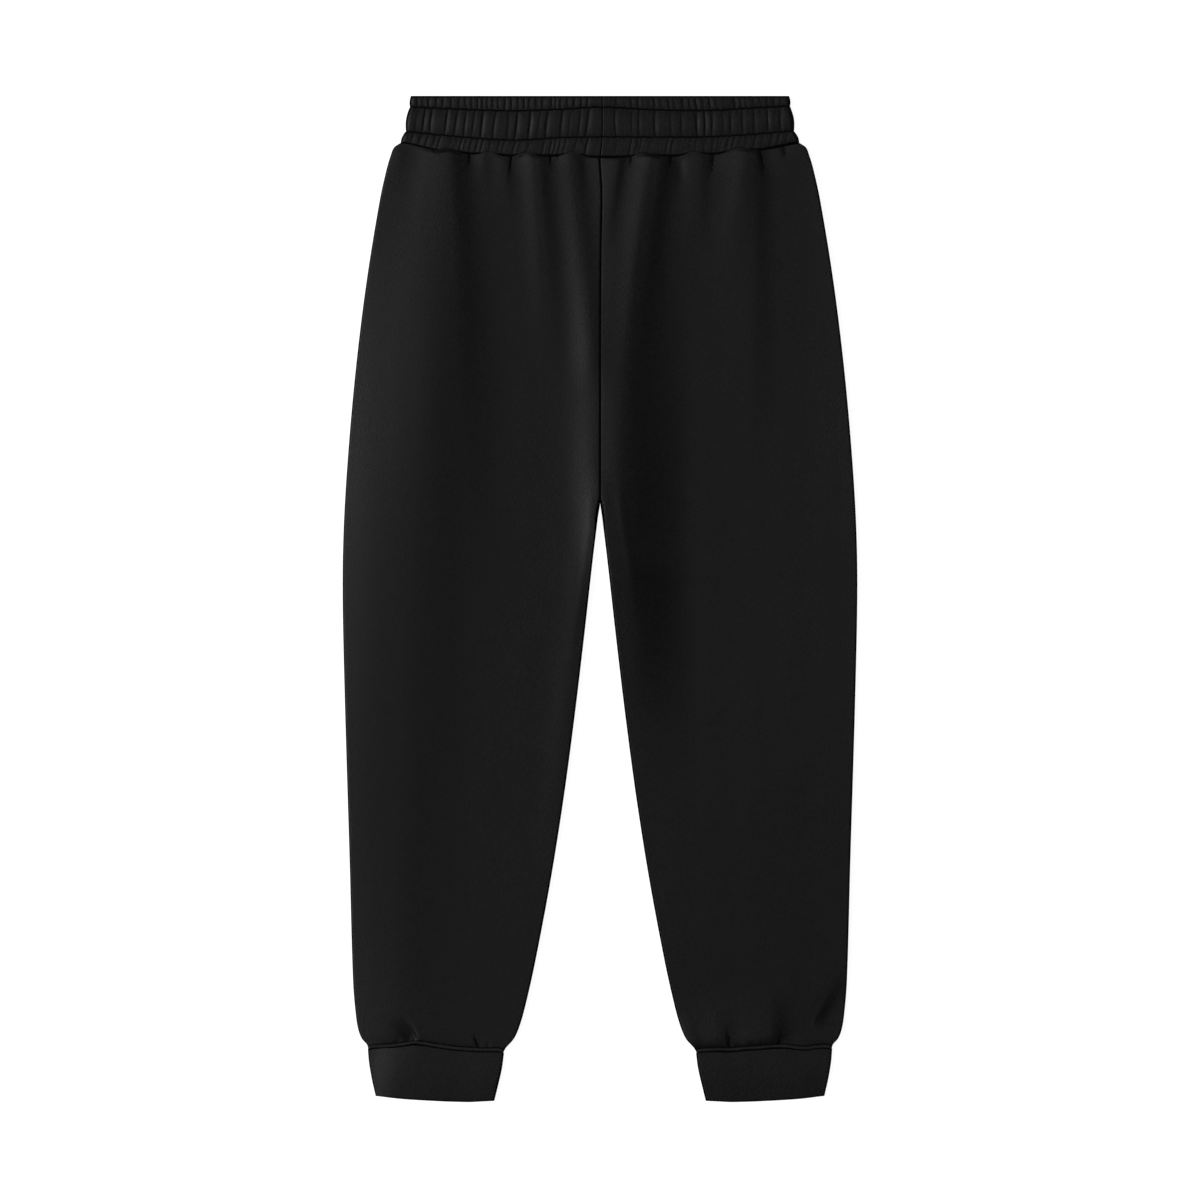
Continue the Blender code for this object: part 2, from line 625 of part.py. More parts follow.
def waistband(collection, knit):
    """A doubled strip over elastic, folded flat, with its ends joined at the back."""
    columns = {side: band_top_columns(side) for side in (-1, 1)}
    surfaces = []
    for section_at, levels in ((band_outer_section, BAND_ROWS), (band_inner_section, BAND_INSIDE_ROWS)):
        rows = []
        for level in levels:
            section = section_at(level, columns)
            recess = INSIDE_RECESS if section_at is band_inner_section and level == 3.0 else 0.0
            rows.append([
                (across, band_down(level, across, on_back) - recess, height)
                for key, across, height, on_back in section
            ])
        surfaces += [rows, (levels, [part[0] for part in section])]
    cloth_wall("waistband", *surfaces, collection, knit)


def build():
    clear_scene()
    collection = bpy.data.collections.new("Jogger sweatpants")
    bpy.context.scene.collection.children.link(collection)
    waistband(collection, material("waistband_knit", BAND_LOOK))
    leg_knit = material("leg_knit", LEG_LOOK)
    cuff_knit = material("cuff_knit", CUFF_LOOK)
    for name, side in (("left", -1), ("right", 1)):
        back_panel(f"back_leg_{name}", side, collection, leg_knit)
        front_panel(f"front_leg_{name}", side, collection, leg_knit)
        cuff(f"cuff_{name}", side, collection, cuff_knit)


build()
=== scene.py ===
"""Looks of the jogger sweatpants that lie flat with the back up.

Every piece of cloth is a closed wall on the form of its CAD solid, with the gathers, furrows,
seam ditches, puckers and stitches that the solid leaves out. Sizes are in millimetres: "down" is
the distance from the waist edge towards the cuffs and "across" the distance from the centre line.
"""

import math
from collections import namedtuple

import bmesh
import bpy
import numpy as np
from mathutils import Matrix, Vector


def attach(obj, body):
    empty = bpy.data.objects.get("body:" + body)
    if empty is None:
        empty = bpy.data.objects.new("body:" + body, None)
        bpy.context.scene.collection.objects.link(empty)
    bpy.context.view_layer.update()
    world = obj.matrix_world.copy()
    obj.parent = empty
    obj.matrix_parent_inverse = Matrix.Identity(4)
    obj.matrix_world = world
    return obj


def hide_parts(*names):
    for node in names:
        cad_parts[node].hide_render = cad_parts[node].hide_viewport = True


MM = 0.001
SHARP_ANGLE = math.radians(75)  # edges that turn further than this aren't smoothed
SPREAD_SAMPLES, COLUMN_SAMPLES = 6000, 600


def table(kind, *rows):
    """Rows of one kind of named values."""
    return [kind(*row) for row in rows]


# ------------ sizes of the CAD solids
LENGTH = 1006.0
CROTCH_DOWN = 407.0
SIDE_SEAM_HEIGHT = 3.2
WAIST_SEAM_HEIGHT = 7.8
CUFF_SEAM_HEIGHT = 7.4
CUFF_CROWN_HEIGHT = 6.4
CUFF_FOLD_HEIGHT = 3.3
BAND_STITCH_HEIGHT = 7.7
CENTRE_FOLD_WIDTH = 6.0
BACK_FOLD_WIDTH = 2.2
FRONT_FOLD_WIDTH = 4.5
CUFF_FOLD_WIDTH = 2.4
RIM = 0.4
EDGE_ROUNDNESS = 0.62  # 1 is a quarter of an ellipse, and less is a fuller corner
CLOTH_REACH = 0.75  # how far the nap reaches past the solid's edge
WAIST_PUFF = 5.0
CUFF_PUFF = 12.0
FORK_START, FORK_END = 395.0, 441.0
SEAM_BLEND = 6

# Outlines of a leg and of the seams, in the solids' own places
Edge = namedtuple("Edge", "down across")
SIDE_EDGE = table(
    Edge,
    (46, 198.5), (50.5, 205), (58, 208.3), (72, 212.5), (104, 219.5), (184, 232.5), (264, 242.5),
    (344, 250), (424, 255.2), (494, 256.6), (604, 254.4), (764, 249.6), (884, 246.2), (920, 243.2),
    (934, 240.6), (942, 237.2), (947.5, 232.4), (952, 230.9),
)
INNER_EDGE = table(
    Edge,
    (CROTCH_DOWN, 0.05), (424, 3), (464, 8), (544, 17), (624, 26.6), (704, 37.4), (784, 50.2),
    (864, 65.4), (904, 74.4), (926, 80.5), (940, 86.6), (949.5, 95), (954, 97.4),
)
CrossSeam = namedtuple("CrossSeam", "across stitch_1 stitch_2 waist_seam")
BAND_SEAMS = table(
    CrossSeam,
    (-199, 10.5, 35, 46), (-156, 12.8, 39.5, 55), (-90, 15, 44.4, 59.7), (-40, 13.6, 42, 59.9),
    (0, 11.5, 41.2, 61), (60, 14.2, 41.4, 60.2), (110, 14.6, 41, 58.2), (156, 12, 38.4, 54.6),
    (199, 10, 34.6, 46),
)
Scallop = namedtuple("Scallop", "across rise width")
UNDER_LAG = 1.6  # how much lower the waist seam is on the underside
UNDER_WAIST_MEET = (192.5, 6.0)
SCALLOPS = table(
    Scallop,
    (-149.5, 3.2, 9), (-110.5, 2.6, 8.5), (-72.5, 3.4, 9.5), (-27, 4.2, 10), (46, 3.6, 12),
    (94, 3.4, 9), (139.5, 4.6, 13),
)
CuffEdge = namedtuple("CuffEdge", "along inner outer")
CUFF_EDGES = table(
    CuffEdge,
    (0, 96, 232.2), (0.3, 97.8, 231), (0.65, 101.6, 228.2), (1, 105.7, 224.4),
)
# The seam and the hem of each cuff, as they show on the back
Hem = namedtuple("Hem", "across left right bottom")
CUFF_HEMS = table(
    Hem,
    (96, 955.2, 955.8, 1004.4), (118, 955.4, 955.2, 1005.4), (130, 954.8, 955.4, 1006),
    (143, 953.9, 954.2, 1005.8), (156, 952.2, 953.4, 1005.4), (166, 950.8, 952.6, 1004.9),
    (174, 949.4, 952, 1004.5), (186, 948.4, 951.8, 1003.8), (197, 949.8, 953.2, 1003),
    (208, 951.2, 953.6, 1001.9), (218, 951.8, 952.2, 1000.6), (232, 952.2, 951.6, 999),
)
CUFF_UNDER_TOP = (958.1, 953.7)  # the straight seam on the underside, at its two ends
UNDER_CUFF_MEET = (101.6, 226.6, 5.0)
Loft = namedtuple("Loft", "down height")
LOFT = table(
    Loft,
    (46, 8), (110, 7.9), (260, 7.8), (450, 7.5), (700, 7.3), (880, 7.8), (960, 8.2),
)

# Folds of the back panels, from start to end. A negative height is a furrow and a positive one a
# ridge. "left" and "right" are the widths of its two banks at the start, and "end_left" and
# "end_right" at its end. "bow" moves its middle sideways, and "top" is half its flat top.
Fold = namedtuple(
    "Fold",
    "start_across start_down end_across end_down left right end_left end_right height bow top",
    defaults=(0, 0),
)
FOLDS = table(
    Fold,
    # left leg, from the side to the centre
    (-181, 300, -250, 1500, 400, 45, 400, 62, 3),
    (-200, 56, -214, 110, 8, 6, 10, 9, 0.3),
    (-170, 60, -198, 330, 11, 16, 30, 30, 0.6),
    (-149, 62, -134, 640, 20, 13, 110, 50, 2.2),
    (-130, 56, -131, 78, 1.2, 13, 1.5, 14, -0.8),
    (-117, 60, -116, 104, 7, 5, 8, 8, 0.4),
    (-96, 60, -90, 134, 12, 5, 14, 9, 0.6),
    (-87.8, 56, -90.8, 90, 1.3, 13, 1.6, 14, -0.9),
    (-64, 60, -46, 330, 10, 8.5, 16, 17, 1.2, 0, 2),
    (-49.4, 56, -48.6, 78, 1.2, 11, 1.5, 12, -0.8),
    (-42.2, 55, -42.2, 68, 1, 6, 1.2, 7, -0.4),
    (-31, 60, -16, 280, 10, 9, 14, 9, 0.6),
    (-16, 57, -13, 110, 3.4, 10, 4, 10, -0.5),
    # right leg, from the centre to the side
    (19, 60, 1, 170, 16, 5.4, 14, 8, 1.25),
    (30.2, 56, 31.6, 76, 1.2, 13, 1.6, 14, -0.8),
    (56.5, 60, 31, 320, 15, 11, 14, 18, 2, -5, 4),
    (71, 55, 68, 82, 1.3, 13, 1.8, 14, -1),
    (80, 68, 82, 104, 6, 5, 8, 8, -0.5),
    (101, 62, 97, 170, 18, 6, 18, 10, 0.7),
    (113, 54, 108.6, 90, 1.2, 13, 1.8, 14, -0.9),
    (146, 60, 118, 230, 12, 12, 18, 20, 0.7),
    (155.5, 60, 147, 480, 30, 10, 32, 22, 1),
    (158.2, 50, 165.6, 90, 1.3, 13, 2, 14, -1),
    (182, 46, 184.6, 68, 1.1, 11, 1.4, 12, -0.8),
    # the hill at the crotch, which runs up the centre seam and down both inseams
    (-10.5, 250, -31, -40, 14, 12, 10, 9, 1.4),
    (8, 426, 64, -40, 20, 34, 38, 13, 4.3, -15, 7),
    (0, 360, 0, 120, 10, 10, 10, 10, -0.75),
    (16, 484, 32, 650, 9, 32, 18, 27, 4.4, 0, 7.5),
    (93, 440, 84, 20, 40, 146, 34, 100, -3.6),
    (93, 510, 104, 760, 40, 140, 56, 110, -3.2),
    (-20, 505, -62, 900, 14, 30, 18, 30, 0.8),
    (-9.5, 420, -36, 600, 3.4, 2.8, 4, 4, 0.28, 2),
    (20, 412, 44, 590, 3.4, 5, 4, 6, 0.3, 2),
    # above the left cuff
    (-185, 943, -203, 918, 11, 2.2, 15, 4, -2.8, 3),
    (-120.6, 953, -128, 932, 1.2, 12, 1.6, 12, -0.9),
    # above the right cuff
    (92, 950, 84, 902, 7, 7, 9, 9, 0.5),
    (116, 950, 112, 894, 40, 12, 40, 18, 1.3),
    (128.6, 953, 127.4, 926, 1.5, 16, 1.8, 16, -1.2),
    (170, 950, 168, 884, 60, 11, 60, 20, 2.6),
    (175.2, 953, 183.6, 932, 1.2, 16, 1.8, 16, -1.5),
    (229.5, 922, 259.5, 862, 12, 40, 13, 40, -1.7),
    (214.5, 924, 249, 862, 3.4, 4, 4, 5, 0.28),
)
FOLD_FADE_IN = 0.2
SHARP_FOLD = 3.2  # a fold with a narrower bank than this is a sharp tuck

# How far the back sinks towards the side edge of each leg, and over what distance. On the right
# leg it rises a little instead.
SideSink = namedtuple("SideSink", "down left left_reach right right_reach")
SIDE_SINKS = table(
    SideSink,
    (46, 0.2, 30, -0.5, 50), (104, 0.9, 40, -1, 50), (154, 1.8, 54, -1, 50), (204, 3, 66, -1, 50),
    (304, 4.4, 70, -1, 50), (404, 3.9, 58, -0.8, 50), (504, 2.6, 50, -0.5, 50),
    (604, 1.5, 42, -0.5, 50), (704, 0.9, 38, -0.5, 50), (804, 1.1, 45, -0.5, 50),
    (884, 2, 60, -0.3, 40), (950, 3, 66, -0.3, 40),
)
SINK_SOFTNESS, SINK_CURVE = 1.22, 2.5
LOWEST_BACK, LOWEST_SOFTNESS = 4.0, 0.5

# The underside lies flat, so its folds only hollow it. They are shallow and run down from the
# waist and up from the cuffs.
FRONT_FOLDS = table(
    Fold,
    (-168, 44, -182, 260, 4, 6, 16, 20, 0.9),
    (-126, 52, -118, 330, 5, 3.6, 18, 16, 0.9, 3),
    (-86, 56, -92, 190, 3.2, 4.6, 12, 12, 0.8),
    (-44, 57, -34, 300, 3.6, 3.2, 12, 14, 0.9, -2),
    (38, 57, 30, 240, 3.4, 4, 12, 12, 0.9, 2),
    (79, 56, 88, 350, 4.2, 5.4, 18, 14, 0.9, -3),
    (121, 53, 116, 180, 3.6, 3.2, 12, 12, 0.8),
    (163, 48, 178, 300, 4.4, 3.6, 20, 16, 0.9, 2),
    (-176, 949, -186, 880, 4, 3.4, 12, 12, 0.8),
    (-134, 952, -128, 900, 3.4, 4, 9, 12, 0.7),
    (139, 952, 132, 892, 3.6, 3.6, 12, 10, 0.8),
    (192, 949, 198, 905, 3.4, 4, 9, 10, 0.7),
)

# ------------ waistband
BAND_HALF_WIDTHS = (189.1, 190.1, 194.1, 199.3)  # waist edge, stitch 1, stitch 2, waist seam
# The seam across the waistband lies beside the centre line and bends back to it in the last row
JOIN_ACROSS, JOIN_SHIFT, JOIN_BEND = 2.5, 2.0, 1.2
JOIN_GAP = 0.08
BAND_INSIDE = (3.6, 4.0)  # the slit between its two layers
# How far each row of gathers swells, and how far it bulges out at the sides
BandRow = namedtuple("BandRow", "swell bulge lean_left lean_right")
BAND_ROWS = table(BandRow, (0.9, 0.8, 0.5, -2), (1.5, 1.8, 3.6, -0.4), (0.9, 1.2, 4.4, 3.4))
ROW_FULLNESS = 0.8
STITCH_LINES = (1.0, 2.0)  # the levels of the two stitched lines, between the rows
# Creases of each row from the left side to the right one: where they start at the top, and how
# deep they are, as tenths of the row's depth
CREASES = (
    (
        (-182.6, 9), (-175.6, 8), (-170.4, 10), (-162.7, 9), (-156.3, 9), (-148.6, 8), (-139.7, 10),
        (-133.9, 7), (-128.1, 7), (-122.4, 10), (-116.6, 9), (-111.5, 9), (-106.3, 9), (-101.2, 9),
        (-94.8, 9), (-88.4, 10), (-81.3, 9), (-75.6, 8), (-69.1, 9), (-63.4, 7), (-57, 9), (-48, 9),
        (-42.9, 9), (-38.4, 8), (-31.3, 10), (-24.9, 9), (-17.9, 7), (-12.1, 9), (16.7, 10),
        (30.9, 7), (36.9, 12), (42.5, 4), (47.5, 5), (53.1, 12), (60.5, 5), (68.5, 7), (73.9, 6),
        (82.7, 12), (88.8, 9), (95.5, 15), (101.5, 7), (108.9, 14), (115.7, 7), (124, 3),
        (133.2, 12), (139.2, 8), (145.3, 5), (153.4, 7), (160.1, 7), (165.5, 6), (172.9, 10),
        (179.5, 6),
    ),
    (
        (-180.8, 4), (-173.8, 9), (-166.7, 12), (-152, 12), (-141.7, 10), (-132.7, 8), (-124.4, 6),
        (-116.1, 13), (-103.2, 10), (-90.5, 5), (-82.1, 10), (-68.6, 15), (-59, 4), (-50.7, 10),
        (-36.6, 10), (-28.2, 3), (-18.6, 6), (-10.2, 11), (15.4, 9), (32.2, 5), (39.5, 6),
        (55.1, 9), (69.9, 5), (80.7, 7), (96.8, 15), (104.2, 12), (112.3, 13), (123.1, 5),
        (130.5, 9), (141.9, 8), (154, 7), (167.5, 14), (179.6, 10),
    ),
    (
        (-184.9, 8), (-177.2, 9), (-170.8, 9), (-163.7, 9), (-158, 11), (-147.1, 4), (-141.9, 4),
        (-136.2, 10), (-132.6, 6), (-126.6, 7), (-121.4, 10), (-115.7, 8), (-107.3, 5), (-99.6, 5),
        (-93.9, 6), (-83.6, 7), (-79.1, 5), (-75.3, 5), (-68.9, 5), (-54.1, 6), (-47.1, 10),
        (-43.1, 8), (-38.8, 8), (-33, 7), (-21.4, 4), (-10.4, 11), (17.8, 5), (32.6, 10), (38.6, 8),
        (43.2, 10), (51.4, 4), (68.9, 8), (74.2, 10), (91.8, 3), (98.5, 5), (106.6, 6), (114.7, 6),
        (119.4, 9), (122.8, 8), (129.5, 9), (134.9, 6), (141.6, 4), (148.2, 4), (156.4, 10),
        (164.5, 5), (172.6, 9), (180.6, 8), (188.7, 7),
    ),
)
CREASE_DEPTHS = (0.4, 0.55, 0.36)
CREASE_WIDTHS = (1.1, 1.15, 1.0)
RIGHT_CREASES = 0.75  # how deep the creases of the right half are beside those of the left half
CREASE_BANKS = (0.6, 1.5)  # the left and the right bank of a crease, as shares of its width
# At random, and within these limits, each crease differs from its place above
CREASE_SEED, UNDER_SEED = 7, 10
CREASE_SIZE, UNDER_CREASE_SIZE = (0.85, 1.15), (0.4, 1.2)
CREASE_STRETCH, CREASE_CURVE, CREASE_TILT = (0.8, 1.5), (-1.1, 0.7), (-0.7, 0.7)
UNDER_CREASE_SHIFT = (-2.5, 2.5)
CREASE_BLUNTNESS, CREASE_FALL = 0.04, 1.3
CREASE_ENDS, CREASE_REACH = (0.06, 0.94), 0.45  # how far creases go on towards the stitched lines
STITCH_GROOVE = (0.6, 0.36)  # depth and half width
# how wide painted shade shows in the waist seam and along the stitched lines
BAND_DEEP, STITCH_DEEP = 0.8, 0.12
ON_TOP = 0.6  # share of the stitched lines' height above which the upper side begins
# The stitched lines wander a little: how far, and the phase turned for each millimetre
LINE_WANDER = ((0.2, 1.15), (0.16, 0.47))
# how far round its sides the waistband gets painted shade
BAND_EDGE_DEEP = math.radians(40)
JOIN_DITCH = (0.6, 0.42)
BAND_EDGE_ROLL = (2.6, 2.4)  # how far the waist edge turns down, and over which distance
UNDER_EDGE_ROLL = (1.4, 1.6)
UNDER_LIMIT, UNDER_FADE = 2.6, 3.0  # how far the underside hollows, and how it fades at the sides
SIDE_PINCH = 0.6  # how far the creases run round the sides

# ------------ seams of the legs
# How far each scallop closes the waist seam, as a share of its width, and how firmly
PUFF_COVER, PUFF_FIRMNESS, MOST_CLOSED = 1.2, 1.5, 0.97
# Towards the left side the waist seam closes: from where, over which distance and how far
CLOSED_SIDE = (150.0, 12.0, 0.5)
CLOSED_CUFF = 0.3
Gap = namedtuple("Gap", "across width size")
CUFF_GAPS = {
    -1: table(Gap, (184, 13, 1)),
    1: table(Gap, (123, 12, 1), (146, 14, 0.8), (172, 14, 0.9)),
}
# Small slanted puckers between the topstitch and the leg
Pucker = namedtuple("Pucker", "across length lean width height")
PUCKERS = table(
    Pucker,
    (-209, 6, -1, 1.7, 0.2), (-203, 7, 0, 1.5, -0.3), (-197, 8, -0.6, 1.8, 0.25),
    (-190.5, 7, 0.4, 1.4, -0.3), (-172, 5, 1.5, 1.6, 0.2), (-158, 6, 1.8, 2, 0.2),
    (-111, 8, 2, 2.2, -0.4), (119.5, 6, 2.6, 1.5, 0.3), (124, 6, 2.4, 1.3, -0.3),
    (133.5, 7, 3, 1.7, 0.5), (138.5, 6, 2.4, 1.3, -0.4), (146, 7, 3.2, 1.7, 0.5),
    (151.5, 6, 2.6, 1.3, -0.4), (159, 6, 2.4, 1.6, 0.4), (166, 6, 2, 1.4, 0.3),
    (186, 7, -2, 2, 0.25),
)
PUCKER_FADE_IN = 0.25
LEG_THICKNESS = 1.4
INNER_INSET = 0.5  # how far the inner side of a wall stays back from its two ends
SEAM_SLIT = 0.08
WAIST_DITCH = (2.3, 1.15)
SEAM_FILL, SEAM_FILL_REACH = 0.55, 2.6  # where a puff closes the waist seam
CENTRE_DITCHES = {-1: (1.0, 0.6), 1: (0.5, 0.6)}  # depth and width on each side
CENTRE_DITCH_FALL = 1.6
CUFF_DITCH = (2.3, 1.7)
WAIST_DEEP, CUFF_DEEP = 1.5, 1.1  # how wide the unlit depth of a seam shows
WAIST_SHUT = 0.1  # a narrower depth than this doesn't show
# how wide painted shade shows beside the centre seam on each side
CENTRE_DEEP = {-1: 0.2, 1: 0.85}
TUCK_DEEP = 0.4  # above which depth, as a share of its own, a tuck is shaded
EDGE_DEEP = math.radians(77)  # how far round its edges the cloth lies in its own shade
CUFF_STITCH = 3.8  # distance of the topstitch from the cuff seam
CUFF_STITCH_GROOVE = (0.4, 0.42)
UNDER_STITCH_GROOVE = (0.95, 0.7)
CUFF_STRIP_RISE, CUFF_STRIP_BANK, CUFF_STRIP_BORDER = 0.3, 0.9, 0.4
FRONT_FADE = 10.0
DIP_ANGLE = math.radians(80)
FRONT_DIP_ANGLE = math.radians(84)
# The centre seam is a little wavy
Wave = namedtuple("Wave", "down shift")
CENTRE_SEAM = table(
    Wave,
    (40, -0.5), (62, -0.3), (98, 1.9), (136, 1.2), (204, 0.5), (300, 0.3), (407, 0.3),
)
CENTRE_WAVE_REACH = 14.0
UNDER_CENTRE_SHIFT = -2.0
UNDER_CENTRE_END = (350.0, 40.0)

# ------------ stitches
STITCH_LENGTH = 2.5
STITCH_PITCH = 3.3
THREAD_RADIUS = 0.34
STITCH_LIFT, STITCH_ARCH = 0.12, 0.22
STITCH_SIDES, STITCH_FLATNESS = 6, 0.75
# The rings of a stitch: their place along it and their size
STITCH_RINGS = ((-0.5, 0.45), (-0.38, 0.9), (0.0, 1.0), (0.38, 0.9), (0.5, 0.45))


def smooth(rows, column, at):
    """A column of a table at any places between its rows, on a smooth curve through them."""
    key = np.array([row[0] for row in rows], float)
    value = np.array([getattr(row, column) for row in rows], float)
    slope = np.concatenate([
        [(value[1] - value[0]) / (key[1] - key[0])],
        (value[2:] - value[:-2]) / (key[2:] - key[:-2]),
        [(value[-1] - value[-2]) / (key[-1] - key[-2])],
    ])
    at = np.clip(at, key[0], key[-1])
    i = np.clip(np.searchsorted(key, at, side="right") - 1, 0, len(key) - 2)
    step = key[i + 1] - key[i]
    t = (at - key[i]) / step
    return (
        (2 * t**3 - 3 * t**2 + 1) * value[i]
        + (t**3 - 2 * t**2 + t) * step * slope[i]
        + (3 * t**2 - 2 * t**3) * value[i + 1]
        + (t**3 - t**2) * step * slope[i + 1]
    )


def ease(t):
    """Goes from 0 to 1 with a level start and end."""
    t = np.clip(t, 0.0, 1.0)
    return t * t * (3 - 2 * t)


def round_rise(t):
    """Goes from 0 to 1 along a quarter of a circle, steep at first."""
    t = np.clip(t, 0.0, 1.0)
    return np.sqrt(1 - (1 - t) ** 2)


def rise_from(low, height, share):
    """From low up to height, along a quarter of a circle."""
    return low + (height - low) * round_rise(share)


def bell(t):
    return np.exp(-(t**2))


def spread(stops, count=None):
    """Places from the first stop to the last, spaced by the steps that the stops give."""
    place = np.linspace(stops[0][0], stops[-1][0], SPREAD_SAMPLES)
    step = np.interp(place, *zip(*stops))
    parts = np.diff(place) * 0.5 * (1 / step[1:] + 1 / step[:-1])
    number = np.concatenate([[0.0], np.cumsum(parts)])
    count = count or max(2, round(number[-1]))
    return np.interp(np.linspace(0.0, number[-1], count + 1), number, place)


# ------------ form of the cloth
def waist_seam_down(across, on_back):
    """The waist seam of one layer. The seams of the two layers meet only at the sides."""
    down = smooth(BAND_SEAMS, "waist_seam", across)
    meet = 0.5 * ease((abs(across) - UNDER_WAIST_MEET[0]) / UNDER_WAIST_MEET[1])
    if not on_back:
        return down + UNDER_LAG * (1 - meet)
    for scallop in SCALLOPS:
        down = down - scallop.rise * bell((across - scallop.across) / scallop.width)
    return down + UNDER_LAG * meet


def seam_openness(across):
    """1 where the waist seam shows as a dark gap and less where a puff covers it."""
    cover = sum(bell((across - s.across) / (PUFF_COVER * s.width)) for s in SCALLOPS)
    start, reach, size = CLOSED_SIDE
    closed = size * ease((-across - start) / reach)
    return 1 - np.clip(PUFF_FIRMNESS * cover + closed, 0, MOST_CLOSED)


def gap_openness(side, across):
    """1 where the cuff seam gapes and little where it lies closed."""
    gape = sum(bell((across - g.across) / g.width) ** 2 * g.size for g in CUFF_GAPS[side])
    return CLOSED_CUFF + (1 - CLOSED_CUFF) * np.clip(gape, 0, 1)


def cuff_seam_down(side, across, on_back):
    """The cuff seam of one layer. The seams of the two layers meet only at the edges."""
    back = smooth(CUFF_HEMS, "left" if side < 0 else "right", across)
    under = np.interp(across, (CUFF_HEMS[0].across, CUFF_HEMS[-1].across), CUFF_UNDER_TOP)
    inner, outer, reach = UNDER_CUFF_MEET
    meet = 0.5 * np.maximum(ease((inner - across) / reach), ease((across - outer) / reach))
    if on_back:
        return back + meet * (under - back)
    return under + meet * (back - under)


def fold_height(fold, across, down):
    along = (down - fold.start_down) / (fold.end_down - fold.start_down)
    t = np.clip(along, 0.0, 1.0)
    middle = (1 - t) * fold.start_across + t * fold.end_across + fold.bow * np.sin(np.pi * t)
    left = (1 - t) * fold.left + t * fold.end_left
    right = (1 - t) * fold.right + t * fold.end_right
    width = np.where(across < middle, left, right)
    fade = (1 - ease(t)) * ease(1 + along / FOLD_FADE_IN)
    beside = np.clip(abs(across - middle) - fold.top, 0, None)
    return fold.height * fade * bell(beside / width)


def fork(down):
    """0 along the centre seam and 1 along the inseam."""
    return ease((down - FORK_START) / (FORK_END - FORK_START))


def back_height(across, down, from_waist, from_cuff):
    height = smooth(LOFT, "height", down)
    height = height + sum(fold_height(fold, across, down) for fold in FOLDS)
    height = height - side_sink(across, down)
    height = LOWEST_BACK + soft_positive(height - LOWEST_BACK)
    opened = seam_openness(across)
    start = WAIST_SEAM_HEIGHT + SEAM_FILL * (1 - opened)
    puff = from_waist / WAIST_PUFF
    height = start + (height - start) * (opened * round_rise(puff) + (1 - opened) * ease(puff))
    above_strip = np.clip(from_cuff - CUFF_STITCH, 0, None)
    height = rise_from(CUFF_SEAM_HEIGHT, height, above_strip / CUFF_PUFF)
    height = height + puckers(across, from_cuff)
    strip = ease(from_cuff / CUFF_STRIP_BANK) * ease((CUFF_STITCH - from_cuff) / CUFF_STRIP_BANK)
    depth, width = CUFF_STITCH_GROOVE
    height = height + CUFF_STRIP_RISE * strip - depth * bell((from_cuff - CUFF_STITCH) / width)
    depth, width = WAIST_DITCH
    height = rise_from(start - depth * opened, height, from_waist / width)
    depth, width = CUFF_DITCH
    opened = np.where(across < 0, gap_openness(-1, -across), gap_openness(1, across))
    return rise_from(CUFF_SEAM_HEIGHT - depth * opened, height, from_cuff / (width * opened))


def tuck_shade(across, down):
    """1 in the middle of the sharp tucks at the waist and the cuffs, where shade is painted, and 0
    away from them.
    """
    shade = 0 * across
    for fold in FOLDS:
        if fold.height < 0 and fold.left < SHARP_FOLD:
            line = fold._replace(right=fold.left, end_right=fold.end_left, height=1)
            shade = np.maximum(shade, fold_height(line, across, down))
    return shade


def puckers(across, from_cuff):
    height = 0 * across
    for pucker in PUCKERS:
        along = (from_cuff - CUFF_STITCH) / pucker.length
        middle = pucker.across - pucker.lean * along
        fade = ease(along / PUCKER_FADE_IN + 0.5) * (1 - ease(along))
        height = height + pucker.height * fade * bell((across - middle) / pucker.width)
    return height


def side_sink(across, down):
    from_side = smooth(SIDE_EDGE, "across", down) - abs(across)
    left = smooth(SIDE_SINKS, "left", down), smooth(SIDE_SINKS, "left_reach", down)
    right = smooth(SIDE_SINKS, "right", down), smooth(SIDE_SINKS, "right_reach", down)
    depth, reach = (np.where(across < 0, a, b) for a, b in zip(left, right))
    return depth * (1 - np.clip(from_side / (SINK_SOFTNESS * reach), 0, 1)) ** SINK_CURVE


def soft_positive(x):
    """x where it is well above 0, and never less than 0."""
    return 0.5 * (x + np.sqrt(x * x + LOWEST_SOFTNESS * LOWEST_SOFTNESS))


def under_roll(from_top, from_end):
    """How far the underside of a piece turns up towards its two ends."""
    depth, width = UNDER_EDGE_ROLL
    return depth * np.maximum(1 - round_rise(from_top / width), 1 - round_rise(from_end / width))


def front_hollow(across, down, from_waist, from_cuff):
    """How far the underside is hollowed above the surface that it rests on."""
    height = sum(fold_height(fold, across, down) for fold in FRONT_FOLDS)
    height = height * ease(from_waist / FRONT_FADE) * ease(from_cuff / FRONT_FADE)
    depth, width = UNDER_STITCH_GROOVE
    groove = depth * bell((from_cuff - CUFF_STITCH) / width)
    return height + groove + under_roll(from_waist, from_cuff)


# ------------ building closed walls
def zip_rims(outer, inner):
    """Triangles between two lines of (key, vertex), matched by their keys."""
    faces = []
    i = j = 0
    while i < len(outer) - 1 or j < len(inner) - 1:
        ahead = j == len(inner) - 1
        if i < len(outer) - 1 and not ahead:
            ahead = outer[i][0] + outer[i + 1][0] <= inner[j][0] + inner[j + 1][0]
        if ahead:
            faces.append((outer[i][1], outer[i + 1][1], inner[j][1]))
            i += 1
        else:
            faces.append((outer[i][1], inner[j + 1][1], inner[j][1]))
            j += 1
    return faces


def grid_faces(first, rows, columns):
    """Quads between the vertices of a grid that is numbered from first on."""
    at = first + np.arange(rows * columns).reshape(rows, columns)
    corners = (at[:-1, :-1], at[:-1, 1:], at[1:, 1:], at[1:, :-1])
    return np.stack([corner.ravel() for corner in corners], axis=1).tolist(), at


